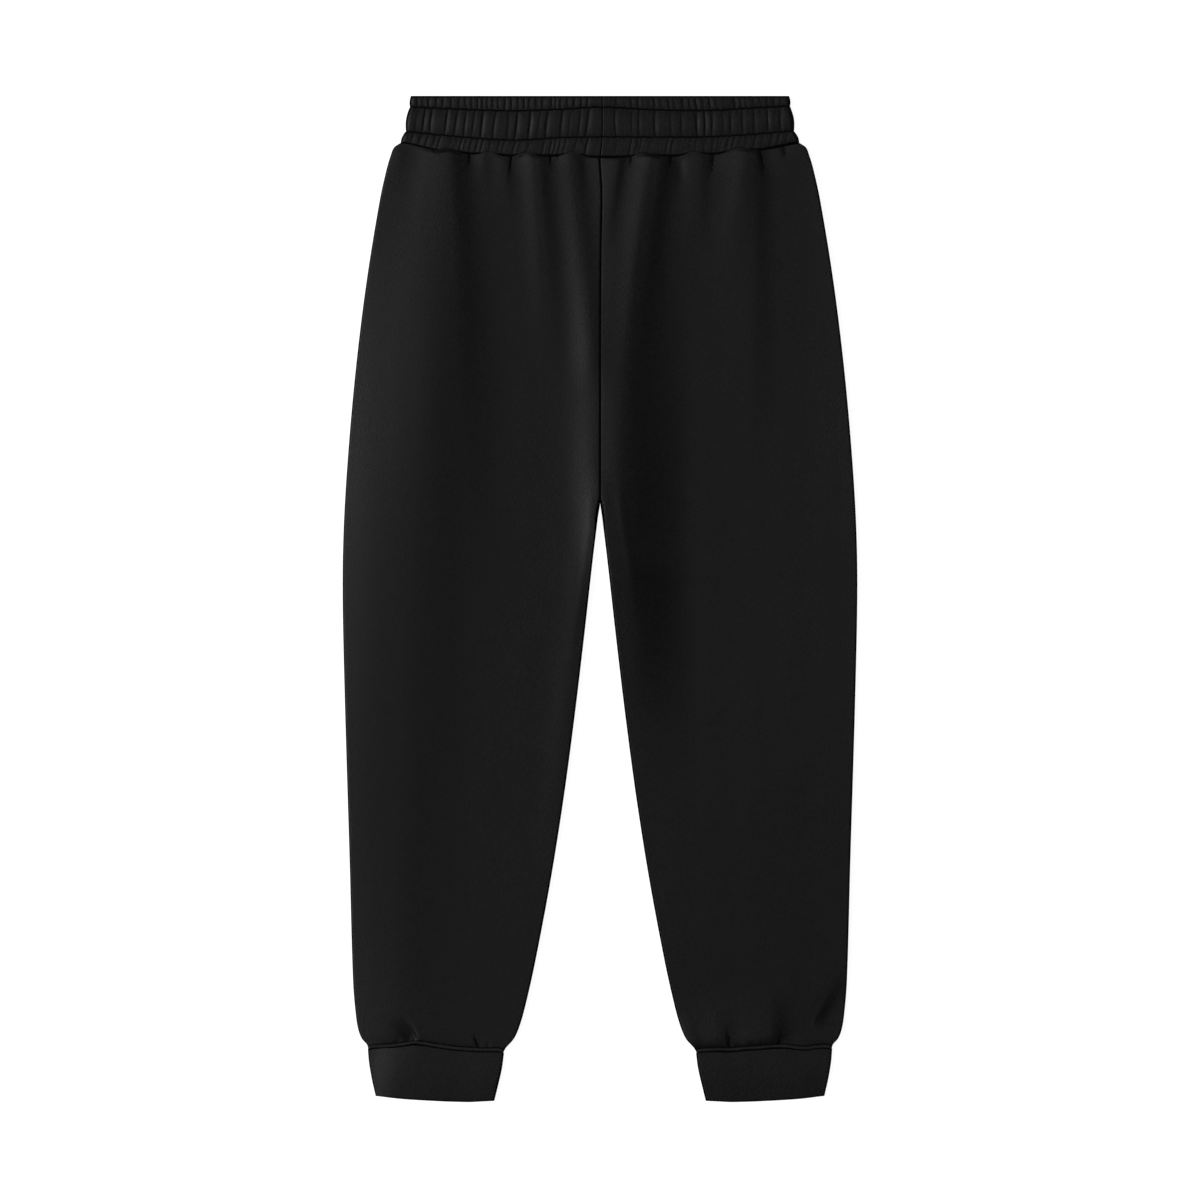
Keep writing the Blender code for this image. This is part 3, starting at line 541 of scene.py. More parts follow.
def closed_wall(name, outer, outer_keys, inner, inner_keys, materials, zones=None):
    """A wall between two grids of points, joined along all four sides.

    zones holds, for each outer point, the number of the material of the face that starts there.
    """
    faces, outer_at = grid_faces(0, *outer.shape[:2])
    more, inner_at = grid_faces(outer_at.size, *inner.shape[:2])
    faces += more
    for end in (0, -1):
        for keys, rim, inner_rim in (
            (1, outer_at[end], inner_at[end]), (0, outer_at[:, end], inner_at[:, end])
        ):
            faces += zip_rims(
                list(zip(outer_keys[keys], rim.tolist())),
                list(zip(inner_keys[keys], inner_rim.tolist())),
            )
    points = np.concatenate([outer.reshape(-1, 3), inner.reshape(-1, 3)])
    numbers = np.zeros(len(faces), int)
    if zones is not None:
        numbers[: zones[:-1, :-1].size] = zones[:-1, :-1].ravel()
    return mesh_object(name, points, faces, materials, numbers)


def thinned(length):
    """Every second number below length, with the first two and the last two kept."""
    return sorted({0, 1, length - 2, length - 1, *range(1, length - 1, 2)})


def inset_ends(inner):
    """Keeps the inner side of a wall back from the wall's two ends."""
    inner[0, :, 1] += INNER_INSET
    inner[-1, :, 1] -= INNER_INSET


def mesh_object(name, points, faces, materials, numbers=None):
    mesh = bpy.data.meshes.new(name)
    mesh.from_pydata(to_world(points).tolist(), [], faces)
    bm = bmesh.new()
    bm.from_mesh(mesh)
    bmesh.ops.recalc_face_normals(bm, faces=bm.faces)
    bm.to_mesh(mesh)
    bm.free()
    mesh.shade_smooth()
    mesh.set_sharp_from_angle(angle=SHARP_ANGLE)
    for material in materials:
        mesh.materials.append(material)
    if numbers is not None:
        mesh.polygons.foreach_set("material_index", np.asarray(numbers, dtype=np.int32))
    obj = bpy.data.objects.new(name, mesh)
    bpy.context.scene.collection.objects.link(obj)
    return obj


def to_world(points):
    """(across, down, height) in millimetres to the row frame in metres."""
    points = np.asarray(points, float)
    return np.stack([points[:, 0], 0.5 * LENGTH - points[:, 1], points[:, 2]], axis=1) * MM


# ------------ leg panels
# Distances from the waist seam, and how far apart the rows of points are there
BACK_ROW_STOPS = [
    (0, 0.32), (2.2, 0.4), (6, 1), (16, 2), (60, 3.4), (140, 4.6), (780, 4.6), (840, 3.4),
    (876, 1.6), (884, 0.7), (888.2, 0.34), (892.9, 0.34),
]
FRONT_ROW_STOPS = [
    (0, 0.5), (4, 0.9), (16, 2.4), (80, 5.5), (780, 6), (850, 4), (880, 1.8), (888.2, 0.5),
    (892.9, 0.5),
]
ARC_STEPS = 9
BACK_COLUMNS, FRONT_COLUMNS = 150, 84
WAIST_REACH, CUFF_REACH = 190.0, 150.0  # how far down the columns keep to the folds of each seam
WAIST_STEPS, CUFF_STEPS = (0.4, 2.2), (0.5, 1.2)  # the finest and the widest columns there
FINE_REACH = 3.0
CUFF_FOLDS_DOWN = 900.0


def column_shares(side, start, end, folds, count, steps):
    """Shares of a panel's width for its columns, closer together at the sharp folds of a seam."""
    at = np.linspace(start, end, COLUMN_SAMPLES)
    near = 0 * at
    for fold in folds:
        place = side * fold.start_across
        if place > 0 and min(fold.left, fold.right) < SHARP_FOLD:
            near = np.maximum(near, bell((at - place) / FINE_REACH))
    finest, widest = steps
    columns = spread(list(zip(at, widest + (finest - widest) * near)), count)
    return (columns - columns[0]) / (columns[-1] - columns[0])


def panel_rows(on_back):
    """Where the rows of a panel end at its inner and its outer edge, and the row of the topstitch.

    top and end are the first and the last row's (inner, outer) places down the leg.
    """
    top = (float(waist_seam_down(np.array(0.0), on_back)), SIDE_EDGE[0].down)
    end = (INNER_EDGE[-1].down, SIDE_EDGE[-1].down)
    distance = spread(BACK_ROW_STOPS if on_back else FRONT_ROW_STOPS)
    distance = distance * (end[0] - top[0]) / distance[-1]
    stitch_row = int(np.argmin(abs(distance[-1] - distance - CUFF_STITCH)))
    inner_down = (top[0] + distance)[:, None]
    outer_down = top[1] + (end[1] - top[1]) * (inner_down - top[0]) / (end[0] - top[0])
    return top, end, inner_down, outer_down, stitch_row


def middle_shares(side, on_back, start, stop, from_top, from_end):
    """Shares of the level middle of each row: even, and drawn to the sharp folds at both seams."""
    folds = FOLDS if on_back else FRONT_FOLDS
    count = BACK_COLUMNS if on_back else FRONT_COLUMNS
    at_waist = [f for f in folds if f.start_down < 0.5 * CROTCH_DOWN]
    at_cuff = [f for f in folds if f.start_down > CUFF_FOLDS_DOWN]
    waist = column_shares(side, start[0, 0], stop[0, 0], at_waist, count, WAIST_STEPS)
    cuff = column_shares(side, start[-1, 0], stop[-1, 0], at_cuff, count, CUFF_STEPS)
    even = np.linspace(0, 1, count + 1)
    at_top, at_end = 1 - ease(from_top / WAIST_REACH), 1 - ease(from_end / CUFF_REACH)
    return even + at_top * (waist - even) + at_end * (cuff - even)


def panel_section(side, on_back, inner_down, outer_down):
    """Each row of a panel from its inner to its outer edge, with both edges turned down.

    Gives how far across each point lies, the angle, rise and rim of the rounded edges, and which
    way is inward.
    """
    apart = fork(inner_down)
    inner = np.maximum(smooth(INNER_EDGE, "across", inner_down) - CLOTH_REACH * apart, 0.05)
    outer = smooth(SIDE_EDGE, "across", outer_down) + CLOTH_REACH
    if on_back:
        far_width, far_round = BACK_FOLD_WIDTH, EDGE_ROUNDNESS
        near_width = CENTRE_FOLD_WIDTH + (BACK_FOLD_WIDTH - CENTRE_FOLD_WIDTH) * apart
        near_round = 1 + (EDGE_ROUNDNESS - 1) * apart
    else:
        far_width, far_round, near_width, near_round = FRONT_FOLD_WIDTH, 1, FRONT_FOLD_WIDTH, 1
    dip = (DIP_ANGLE if on_back else FRONT_DIP_ANGLE) * (1 - apart)
    seam = inner + RIM * np.sin(dip)
    near = dip + (np.pi / 2 - dip) * np.linspace(0, 1, ARC_STEPS + 1)[None, :]
    near_turn = np.clip(np.cos(near), 0, 1) / np.cos(dip)
    near_across = seam + near_width * (1 - near_turn**near_round)
    far = (np.pi / 2) * np.linspace(1, 0, ARC_STEPS + 1)[None, :] + 0 * inner
    far_across = outer - far_width * (1 - np.clip(np.cos(far), 0, 1) ** far_round)
    start, stop = seam + near_width, outer - far_width
    from_top, from_end = inner_down - inner_down[0], inner_down[-1] - inner_down
    shares = middle_shares(side, on_back, start, stop, from_top, from_end)
    middle_across = start + (stop - start) * shares[:, 1:-1]
    flat, edge = 0 * middle_across, 0 * inner
    return {
        "across": np.hstack([inner, near_across, middle_across, far_across, outer]),
        "angle": np.hstack([dip, near, flat + np.pi / 2, far, edge]),
        "rise": np.hstack([
            np.sin(dip) ** near_round, np.sin(near) ** near_round, flat + 1,
            np.sin(far) ** far_round, edge,
        ]),
        "rim": np.hstack([RIM * np.cos(dip), 0 * near, flat, 0 * far, edge + RIM]),
        "inward": side * np.hstack([edge + 1, 0 * near + 1, flat, 0 * far - 1, edge - 1]),
    }


def centre_wave(on_back, down):
    """How far the centre seam wanders sideways."""
    if on_back:
        return smooth(CENTRE_SEAM, "shift", down) * (1 - fork(down))
    end, reach = UNDER_CENTRE_END
    return UNDER_CENTRE_SHIFT * (1 - ease((down - end) / reach))


def leg_grid(side, on_back):
    """Arrays over a leg panel, which reaches from the waist seam to the cuff seam."""
    top, end, inner_down, outer_down, stitch_row = panel_rows(on_back)
    grid = panel_section(side, on_back, inner_down, outer_down)
    across = grid["across"]
    share = (across - across[:, :1]) / (across[:, -1:] - across[:, :1])
    lie = inner_down + (outer_down - inner_down) * share
    first = top[0] + (top[1] - top[0]) * share
    last = end[0] + (end[1] - end[0]) * share
    along = (lie - first) / (last - first)
    waist = waist_seam_down(side * np.minimum(across, SIDE_EDGE[0].across), on_back)
    cuff = cuff_seam_down(side, across, on_back) - SEAM_SLIT
    down = lie + (waist - first) * (1 - along) ** SEAM_BLEND
    down = down + (cuff - last) * along**SEAM_BLEND
    wave = centre_wave(on_back, inner_down) * np.exp(-across / CENTRE_WAVE_REACH)
    grid.update(
        across=side * across + wave, down=down, from_waist=down - waist, from_cuff=cuff - down,
        from_centre=across - across[:, :1], fork=fork(inner_down), stitch_row=stitch_row,
    )
    return grid


def back_zones(side, grid):
    """Numbers of the materials on the back: 1 painted shade in seams and at edges, 2 the glossier
    hem strip with a painted highlight, 3 painted shade in tucks.
    """
    across, from_cuff = grid["across"], grid["from_cuff"]
    deep = grid["from_waist"] < WAIST_DEEP * seam_openness(across) - WAIST_SHUT
    deep |= (grid["fork"] < 0.5) & (grid["from_centre"] < CENTRE_DEEP[side])
    deep |= from_cuff < CUFF_DEEP * gap_openness(side, abs(across))
    deep |= grid["angle"] < EDGE_DEEP
    # the hem strip is glossier, and its lighter colour is a painted highlight
    strip = from_cuff < CUFF_STITCH - CUFF_STRIP_BORDER
    tuck = tuck_shade(across, grid["down"]) > TUCK_DEEP
    tuck &= from_cuff > CUFF_STITCH + CUFF_STITCH_GROOVE[1]
    return np.select([deep, strip, tuck], [1, 2, 3], 0)


def panel_height(side, on_back, grid):
    """Height of a panel's outer side."""
    place = [grid[key] for key in ("across", "down", "from_waist", "from_cuff")]
    if on_back:
        depth, width = CENTRE_DITCHES[side]
        ditch = depth * np.exp(-((grid["from_centre"] / width) ** CENTRE_DITCH_FALL))
        height = back_height(*place) - ditch * (1 - grid["fork"])
        edge = SIDE_SEAM_HEIGHT + RIM
        return edge + (height - edge) * grid["rise"] - grid["rim"]
    edge = SIDE_SEAM_HEIGHT - SEAM_SLIT - RIM
    level = np.sin(grid["angle"])
    return edge * (1 - level) + grid["rim"] + front_hollow(*place) * level


def leg_panel(name, side, on_back, materials):
    """One panel of a leg, with its row of topstitching."""
    grid = leg_grid(side, on_back)
    across, down, angle = grid["across"], grid["down"], grid["angle"]
    low = panel_height(side, on_back, grid)
    outer = np.stack([across, down, low], axis=2)
    rows, columns = (thinned(length) for length in across.shape)
    pick = np.ix_(rows, columns)
    up = -1 if on_back else 1
    inner = np.stack([
        across[pick] + LEG_THICKNESS * (grid["inward"] * np.cos(angle))[pick],
        down[pick],
        low[pick] + up * LEG_THICKNESS * np.sin(angle)[pick],
    ], axis=2)
    if not on_back:  # the inner side stays level where the outer one turns up at its ends
        inner[[0, -1], :, 2] = inner[[1, -2], :, 2]
    inset_ends(inner)
    keys = [range(length) for length in across.shape]
    zones = back_zones(side, grid) if on_back else None
    panel = closed_wall(name, outer, keys, inner, (rows, columns), materials, zones)
    row = grid["stitch_row"]
    return panel, (outer[row], outward(outer, row, -up))


# ------------ waistband
def band_row(level):
    row = np.minimum(level.astype(int), len(BAND_ROWS) - 1)
    return row, level - row


def band_half_width(level):
    row, along = band_row(level)
    bulge = np.array([r.bulge for r in BAND_ROWS])[row]
    half = np.interp(level, range(4), BAND_HALF_WIDTHS)
    return half + bulge * np.sin(np.pi * along)


def band_crown(level):
    row, along = band_row(level)
    swell = np.array([r.swell for r in BAND_ROWS])[row]
    return BAND_STITCH_HEIGHT + swell * np.sin(np.pi * along) ** ROW_FULLNESS


def join_place(level, bend=1.0):
    """How far from the centre line the seam across the waistband lies."""
    return JOIN_ACROSS - JOIN_SHIFT * np.clip(level - STITCH_LINES[-1], 0, 1) ** bend


def band_down(level, across, on_back):
    row, along = band_row(level)
    across = np.clip(across, -SIDE_EDGE[0].across, SIDE_EDGE[0].across)
    wander = sum(size * np.sin(turn * across) for size, turn in LINE_WANDER)
    edges = np.stack([
        0 * across,
        smooth(BAND_SEAMS, "stitch_1", across) + wander,
        smooth(BAND_SEAMS, "stitch_2", across) - wander,
        waist_seam_down(across, on_back) - SEAM_SLIT,
    ])
    number = (row + 0 * across.astype(int))[None]
    upper, lower = (np.take_along_axis(edges, number + below, 0)[0] for below in (0, 1))
    return upper + (lower - upper) * along


def crease_depth(row, across, along, on_back):
    """How far the creases of one row of gathers cut into it."""
    draw = np.random.default_rng(CREASE_SEED + row + (0 if on_back else UNDER_SEED)).uniform
    depth = np.zeros(np.broadcast(across, along).shape)
    for place, tenths in CREASES[row]:
        size = 0.1 * tenths * draw(*(CREASE_SIZE if on_back else UNDER_CREASE_SIZE))
        width = CREASE_WIDTHS[row] * draw(*CREASE_STRETCH)
        curve = draw(*CREASE_CURVE)
        tilt = draw(*CREASE_TILT)
        size = size * (RIGHT_CREASES if place > 0 else 1.0)
        if not on_back:
            place = -place + draw(*UNDER_CREASE_SHIFT)
        lean = BAND_ROWS[row].lean_left if place < 0 else BAND_ROWS[row].lean_right
        middle = place - (lean + tilt) * along + curve * np.sin(np.pi * along)
        width = np.where(across < middle, *CREASE_BANKS) * width
        offset = np.sqrt(((across - middle) / width) ** 2 + CREASE_BLUNTNESS)
        offset = offset - math.sqrt(CREASE_BLUNTNESS)
        depth = np.maximum(depth, size * np.exp(-(offset**CREASE_FALL)))
    return CREASE_DEPTHS[row] * depth


def band_surface(level, across, on_back):
    """The relief of the waistband: how far below its crown each point lies, and how far down."""
    relief = np.zeros(np.broadcast(level, across).shape)
    row, along = band_row(level)
    for r in range(len(BAND_ROWS)):
        here = (row == r)[:, 0]
        part = along[here]
        strength = np.sin(np.pi * np.clip(part, *CREASE_ENDS)) ** CREASE_REACH
        relief[here] = strength * crease_depth(r, across[here], part, on_back)
    down = band_down(level, across, on_back)
    for line in STITCH_LINES:
        at = band_down(np.full_like(level, line), across, on_back)
        relief += STITCH_GROOVE[0] * bell((down - at) / STITCH_GROOVE[1])
    if on_back:
        relief += JOIN_DITCH[0] * bell((across - join_place(level)) / JOIN_DITCH[1])
    return relief, down


def band_top(level, across, crown):
    """Height of the waistband's upper side, with its rolled waist edge and its side of the seam."""
    relief, down = band_surface(level, across, True)
    height = crown - relief - BAND_EDGE_ROLL[0] * (1 - round_rise(down / BAND_EDGE_ROLL[1]))
    opened = seam_openness(across)
    to_seam = waist_seam_down(across, True) - SEAM_SLIT - down
    filled = SEAM_FILL * (1 - opened)
    height = height + filled * bell(to_seam / SEAM_FILL_REACH)
    low = BAND_STITCH_HEIGHT + filled - WAIST_DITCH[0] * opened
    return rise_from(low, height, to_seam / WAIST_DITCH[1]), down, relief


def band_under(level, across, flat):
    """Height of the waistband's underside, and how far down it lies."""
    relief, down = band_surface(level, across, False)
    height = relief + under_roll(down, waist_seam_down(across, False) - down)
    height = np.minimum(height, UNDER_LIMIT)
    return height * ease((flat - abs(across)) / UNDER_FADE), down


def band_side(level, sign, around, flat, crown):
    """Points of one side of the waistband. around is 0 at its top and pi at the underside."""
    radius = 0.5 * crown
    rim, _, relief = band_top(level, sign * flat + 0 * around, crown)
    pinch = relief * np.cos(around / 2) ** 2 * SIDE_PINCH
    across = sign * (flat + (radius - pinch) * np.sin(around))
    lift = np.where(np.cos(around) > 0, rim - radius, radius - pinch)
    over, under = (band_down(level, across, on_back) for on_back in (True, False))
    return across, over + (under - over) * around / np.pi, radius + lift * np.cos(around)


# Levels, which count the rows of gathers from the waist edge, and their steps there
BAND_LEVEL_STOPS = [
    (0, 0.02), (0.12, 0.035), (0.3, 0.11), (0.7, 0.11), (0.93, 0.03), (1, 0.014), (1.03, 0.014),
    (1.15, 0.06), (1.5, 0.07), (1.85, 0.06), (1.97, 0.014), (2.03, 0.02), (2.15, 0.07),
    (2.75, 0.08), (2.9, 0.03), (3, 0.018),
]
# Columns of the right and the left half, the underside and the two sides, and inside
BAND_COLUMNS = {"right": 330, "left": 340, "under": 420, "side": 22}
BAND_INNER_ROWS, BAND_INNER_COLUMNS, BAND_INNER_INSET = 13, 60, 0.7


def band_levels():
    levels = spread(BAND_LEVEL_STOPS)
    for line in STITCH_LINES:
        levels[np.argmin(abs(levels - line))] = line
    return levels[:, None]


def band_outside(level):
    """The outer side of the waistband from its seam round to its seam, with a key for each column
    and the angle of its two rounded sides."""
    crown = band_crown(level)
    flat = band_half_width(level) - 0.5 * crown
    gap = 0.5 * JOIN_GAP
    join = join_place(level, JOIN_BEND)
    right, left = (np.linspace(0, 1, BAND_COLUMNS[half])[None, :] for half in ("right", "left"))
    under = np.linspace(1, -1, BAND_COLUMNS["under"])[None, 1:-1]
    turn = np.linspace(0, np.pi, BAND_COLUMNS["side"])[None, 1:-1]
    parts = [
        (right, join + gap + (flat - join - gap) * right, "top"),
        (1 + turn / np.pi, turn, "side"),
        (2.5 - 0.5 * under, flat * under, "under"),
        (3 + turn / np.pi, np.pi - turn, "side"),
        (4 + left, -flat + (flat + join - gap) * left, "top"),
    ]
    sections, keys, turned = [], [], []
    for key, place, kind in parts:
        place = place + 0 * level
        around = 0 * place
        if kind == "top":
            across = place
            height, down, _ = band_top(level, across, crown)
        elif kind == "under":
            across = place
            height, down = band_under(level, across, flat)
        else:
            around = place
            across, down, height = band_side(level, 1 if key[0, 0] < 2 else -1, around, flat, crown)
        sections.append(np.stack([across, down, height], axis=2))
        turned.append(around)
        keys += key.ravel().tolist()
    return np.concatenate(sections, axis=1), keys, np.concatenate(turned, axis=1)


def band_zones(outer, turned):
    """1 where shade is painted in the depth of the seam and the stitched lines and at the sides,
    and 0 elsewhere.
    """
    across, down, height = (outer[..., axis] for axis in range(3))
    deep = waist_seam_down(across, True) - down < BAND_DEEP * seam_openness(across)
    for line in STITCH_LINES:
        deep |= abs(down - band_down(np.full_like(across, line), across, True)) < STITCH_DEEP
    on_top = height > ON_TOP * BAND_STITCH_HEIGHT
    return 1 * ((deep & on_top) | (abs(turned - np.pi / 2) < BAND_EDGE_DEEP))


def band_inside():
    """The plain inner side, round the slit between the two layers."""
    level = np.linspace(0.0, 3.0, BAND_INNER_ROWS)[:, None]
    share = np.linspace(0, 1, BAND_INNER_COLUMNS)[None, :]
    end = band_half_width(level) - BAND_INSIDE[0]
    join = join_place(level, JOIN_BEND)
    gap = 0.5 * JOIN_GAP
    low, high = BAND_INSIDE
    parts = [
        (share, join + gap + (end - join - gap) * share, high, True),
        (2 + share, end * (1 - 2 * share), low, False),
        (4 + share, -end + (end + join - gap) * share, high, True),
    ]
    sections, keys = [], []
    for key, across, height, on_back in parts:
        down = band_down(level, across, on_back)
        down[-1] -= BAND_INNER_INSET
        sections.append(np.stack([across, down, np.full_like(across, height)], axis=2))
        keys += key.ravel().tolist()
    return np.concatenate(sections, axis=1), (level.ravel().tolist(), keys)


def waistband(name, materials):
    """The waistband, a closed tube pressed flat, with its two rows of topstitching."""
    level = band_levels()
    outer, keys, turned = band_outside(level)
    inner, inner_keys = band_inside()
    levels = level.ravel().tolist()
    zones = band_zones(outer, turned)
    band = closed_wall(name, outer, (levels, keys), inner, inner_keys, materials, zones)
    rows = [levels.index(line) for line in STITCH_LINES]
    return band, [(outer[row], outward(outer, row)) for row in rows]


# ------------ cuffs
CUFF_ROLL = (1.5, 1.3)
CUFF_HEM_ROLL = (1.6, 1.8)
CUFF_THICKNESS = 2.2
# how wide painted shade shows in the cuff seam, and how far round its sides
CUFF_EDGE_DEEP = 0.8
CUFF_SIDE_DEEP = math.radians(77)
# Soft waves of the cuffs: where they are, how wide and how high, and how far they lean
CuffWave = namedtuple("CuffWave", "across width height lean")
CUFF_WAVES = {
    -1: table(CuffWave, (-236, 21, -4.2, -6), (-176, 14, 0.12, 3), (-140, 14, -0.12, -3)),
    1: table(CuffWave, (124, 12, 0.12, 5), (160, 16, -0.12, 3), (206, 12, 0.15, -5)),
}
CUFF_SWELL = 0.9
CUFF_WAVE_GROWTH = (0.7, 0.3)  # the waves' share at the seam, and what they gain towards the hem
CUFF_UNDER_FADE, CUFF_UNDER_WIDTH = 5.0, 0.8
CUFF_ROW_STOPS = [(0, 0.007), (0.03, 0.009), (0.12, 0.03), (0.85, 0.035), (0.96, 0.012), (1, 0.007)]
CUFF_ARC_COLUMNS, CUFF_TOP_COLUMNS, CUFF_UNDER_COLUMNS = 9, 112, 76


def cuff_parts(along):
    """The outer side of a cuff, from its inner edge over the top and back along the underside.

    Each part gives how far across it lies, its angle, which way is inward and up, and a shift of
    its height.
    """
    inner_edge, outer_edge = (smooth(CUFF_EDGES, edge, along) for edge in ("inner", "outer"))
    turn = np.linspace(0, np.pi / 2, CUFF_ARC_COLUMNS)[None, :]
    start, end = inner_edge + CUFF_FOLD_WIDTH, outer_edge - CUFF_FOLD_WIDTH
    upper = start + (end - start) * np.linspace(0, 1, CUFF_TOP_COLUMNS)[None, 1:-1]
    lower = end + (start - end) * np.linspace(0, 1, CUFF_UNDER_COLUMNS)[None, 1:-1]
    reach = CUFF_FOLD_WIDTH * (1 - np.clip(np.cos(turn), 0, 1) ** EDGE_ROUNDNESS)
    near, far = inner_edge + reach, outer_edge - reach
    level = np.array([[np.pi / 2]])
    edge = np.array([[0.0]])
    lip = SEAM_SLIT / 2
    return [
        (inner_edge, edge, 1, -1, lip - RIM), (near, turn, 1, -1, 0.0),
        (upper, level, 1, -1, 0.0), (far[:, ::-1], turn[:, ::-1], -1, -1, 0.0),
        (far, turn, -1, 1, 0.0), (lower, level, 1, 1, 0.0),
        (near[:, ::-1], turn[:, ::-1], 1, 1, 0.0), (inner_edge, edge, 1, 1, RIM - lip),
    ]


def cuff(name, side, materials):
    """A cuff: a closed tube pressed flat."""
    along = spread(CUFF_ROW_STOPS)[:, None]
    sections, offsets, turned = [], [], []
    for across, angle, inward, up, shift in cuff_parts(along):
        angle = angle + 0 * across
        top = cuff_seam_down(side, across, up < 0)
        bottom = smooth(CUFF_HEMS, "bottom", across)
        down = top + (bottom - top) * along
        full = np.clip(np.sin(angle), 0, 1) ** EDGE_ROUNDNESS
        if up < 0:
            edge = CUFF_FOLD_HEIGHT + RIM
            crown = cuff_crown(side, across, down - top, bottom - down)
            height = edge + (crown - edge) * full + shift
        else:
            hollow = cuff_under(side, across, down - top, bottom - down)
            height = (CUFF_FOLD_HEIGHT - RIM) * (1 - full) + hollow * full + shift
        sections.append(np.stack([side * across, down, height], axis=2))
        sideways = side * inward * np.cos(angle) * CUFF_THICKNESS
        upward = up * np.sin(angle) * CUFF_THICKNESS
        offsets.append(np.stack([sideways, 0 * across, upward], axis=2))
        turned.append(np.where(up < 0, angle, np.pi / 2))
    outer = np.concatenate(sections, axis=1)
    rows, columns = (thinned(length) for length in outer.shape[:2])
    inner = (outer + np.concatenate(offsets, axis=1))[np.ix_(rows, columns)]
    inner[[0, -1], :, 2] = inner[[2, -3], :, 2]
    inset_ends(inner)
    keys = [range(length) for length in outer.shape[:2]]
    zones = cuff_zones(side, outer, np.concatenate(turned, axis=1))
    return closed_wall(name, outer, keys, inner, (rows, columns), materials, zones)


def cuff_zones(side, outer, turned):
    """1 where shade is painted in the depth of the seam and at the two sides, and 0 elsewhere."""
    across = abs(outer[..., 0])
    from_seam = outer[..., 1] - cuff_seam_down(side, across, True)
    in_seam = (from_seam < CUFF_EDGE_DEEP * gap_openness(side, across)) & (
        outer[..., 2] > CUFF_FOLD_HEIGHT
    )
    return 1 * (in_seam | (turned < CUFF_SIDE_DEEP))


def cuff_crown(side, across, from_seam, from_hem):
    along = from_seam / np.maximum(from_seam + from_hem, 1e-6)
    height = CUFF_CROWN_HEIGHT + CUFF_SWELL * np.sin(np.pi * along)
    start, growth = CUFF_WAVE_GROWTH
    for wave in CUFF_WAVES[side]:
        offset = side * across - (wave.across + wave.lean * (along - 0.5))
        height = height + wave.height * bell(offset / wave.width) * (start + growth * along)
    height = rise_from(CUFF_CROWN_HEIGHT - CUFF_ROLL[0], height, from_seam / CUFF_ROLL[1])
    return rise_from(CUFF_CROWN_HEIGHT - CUFF_HEM_ROLL[0], height, from_hem / CUFF_HEM_ROLL[1])


def cuff_under(side, across, from_seam, from_hem):
    along = from_seam / np.maximum(from_seam + from_hem, 1e-6)
    height = 0 * across
    for wave in CUFF_WAVES[side][1:]:
        offset = side * across - (-wave.lean * (along - 0.5) + wave.across)
        height = height + abs(wave.height) * bell(offset / (CUFF_UNDER_WIDTH * wave.width))
    height = height * ease(from_seam / CUFF_UNDER_FADE) * ease(from_hem / CUFF_UNDER_FADE)
    return height + under_roll(from_seam, from_hem)


# ------------ stitches
def outward(surface, row, up=1):
    """Unit normals along a row of a grid of points, turned away from the cloth's inner side."""
    along = np.gradient(surface[row], axis=0)
    across = surface[min(row + 1, len(surface) - 1)] - surface[row - 1]
    normals = np.cross(along, across)
    normals = normals / np.maximum(np.linalg.norm(normals, axis=1, keepdims=True), 1e-9)
    return -normals if normals[len(normals) // 3][2] * up < 0 else normals


def unit(vector):
    return vector / np.linalg.norm(vector)


def stitch_line(points, normals):
    """Short rounded stitches along a line, lying on its surface: vertices and faces."""
    steps = np.linalg.norm(np.diff(points, axis=0), axis=1)
    length = np.concatenate([[0], np.cumsum(steps)])

    def at(values, place):
        return np.array([np.interp(place, length, column) for column in values.T])

    vertices, faces = [], []
    around = np.linspace(0, 2 * np.pi, STITCH_SIDES + 1)[:-1]
    for centre in np.arange(STITCH_PITCH, length[-1] - STITCH_PITCH, STITCH_PITCH):
        places = [at(points, centre + s * STITCH_LENGTH) for s, _ in STITCH_RINGS]
        normal = unit(at(normals, centre))
        sideways = unit(np.cross(unit(places[-1] - places[0]), normal))
        rings = len(vertices) + np.arange(len(places) * STITCH_SIDES).reshape(-1, STITCH_SIDES)
        for (s, size), place in zip(STITCH_RINGS, places):
            arch = STITCH_LIFT + STITCH_ARCH * (1 - (2 * s) ** 2)
            for a in around:
                ring = np.cos(a) * sideways + STITCH_FLATNESS * np.sin(a) * normal
                vertices.append(place + arch * normal + THREAD_RADIUS * size * ring)
        turned = np.roll(rings, -1, axis=1)
        sides = np.stack([rings[:-1], turned[:-1], turned[1:], rings[1:]], axis=2)
        faces += [*sides.reshape(-1, 4).tolist(), rings[0, ::-1].tolist(), rings[-1].tolist()]
    return vertices, faces


def stitches(name, lines, material):
    """One mesh of all the stitches along lines of (points, normals)."""
    vertices, faces = [], []
    for points, normals in lines:
        more, their_faces = stitch_line(points, normals)
        faces += [[i + len(vertices) for i in face] for face in their_faces]
        vertices += more
    return mesh_object(name, vertices, faces, [material])


# ------------ materials
KNIT_BLACK = 0.0026
STRIP_HIGHLIGHT_BLACK = 0.0042  # pressed flat under the topstitch, which makes it glossier; its lighter colour is a painted highlight
DEPTH_BLACK = 0.0008  # inside the seams, where hardly any light comes
THREAD_BLACK = 0.0018
TUCK_SHADE_BLACK = 0.0013  # painted shade in the middle of the sharp tucks
KNIT_ROUGHNESS, KNIT_GLOSS, ROUGHNESS_SPREAD = 0.47, 0.175, 0.2
WALE_PITCH, COURSE_PITCH = 0.0031, 0.0028  # metres
SPECKLE_SCALE, NAP_SCALE, FUZZ_SCALE = 620.0, 38.0, 2400.0
TONE_ENDS, TONE_SIZES = (0.34, 0.66), (0.35, 1.75)  # between which the tone runs, and its range
BUMP_STRENGTH, BUMP_DISTANCE = 0.52, 0.00018


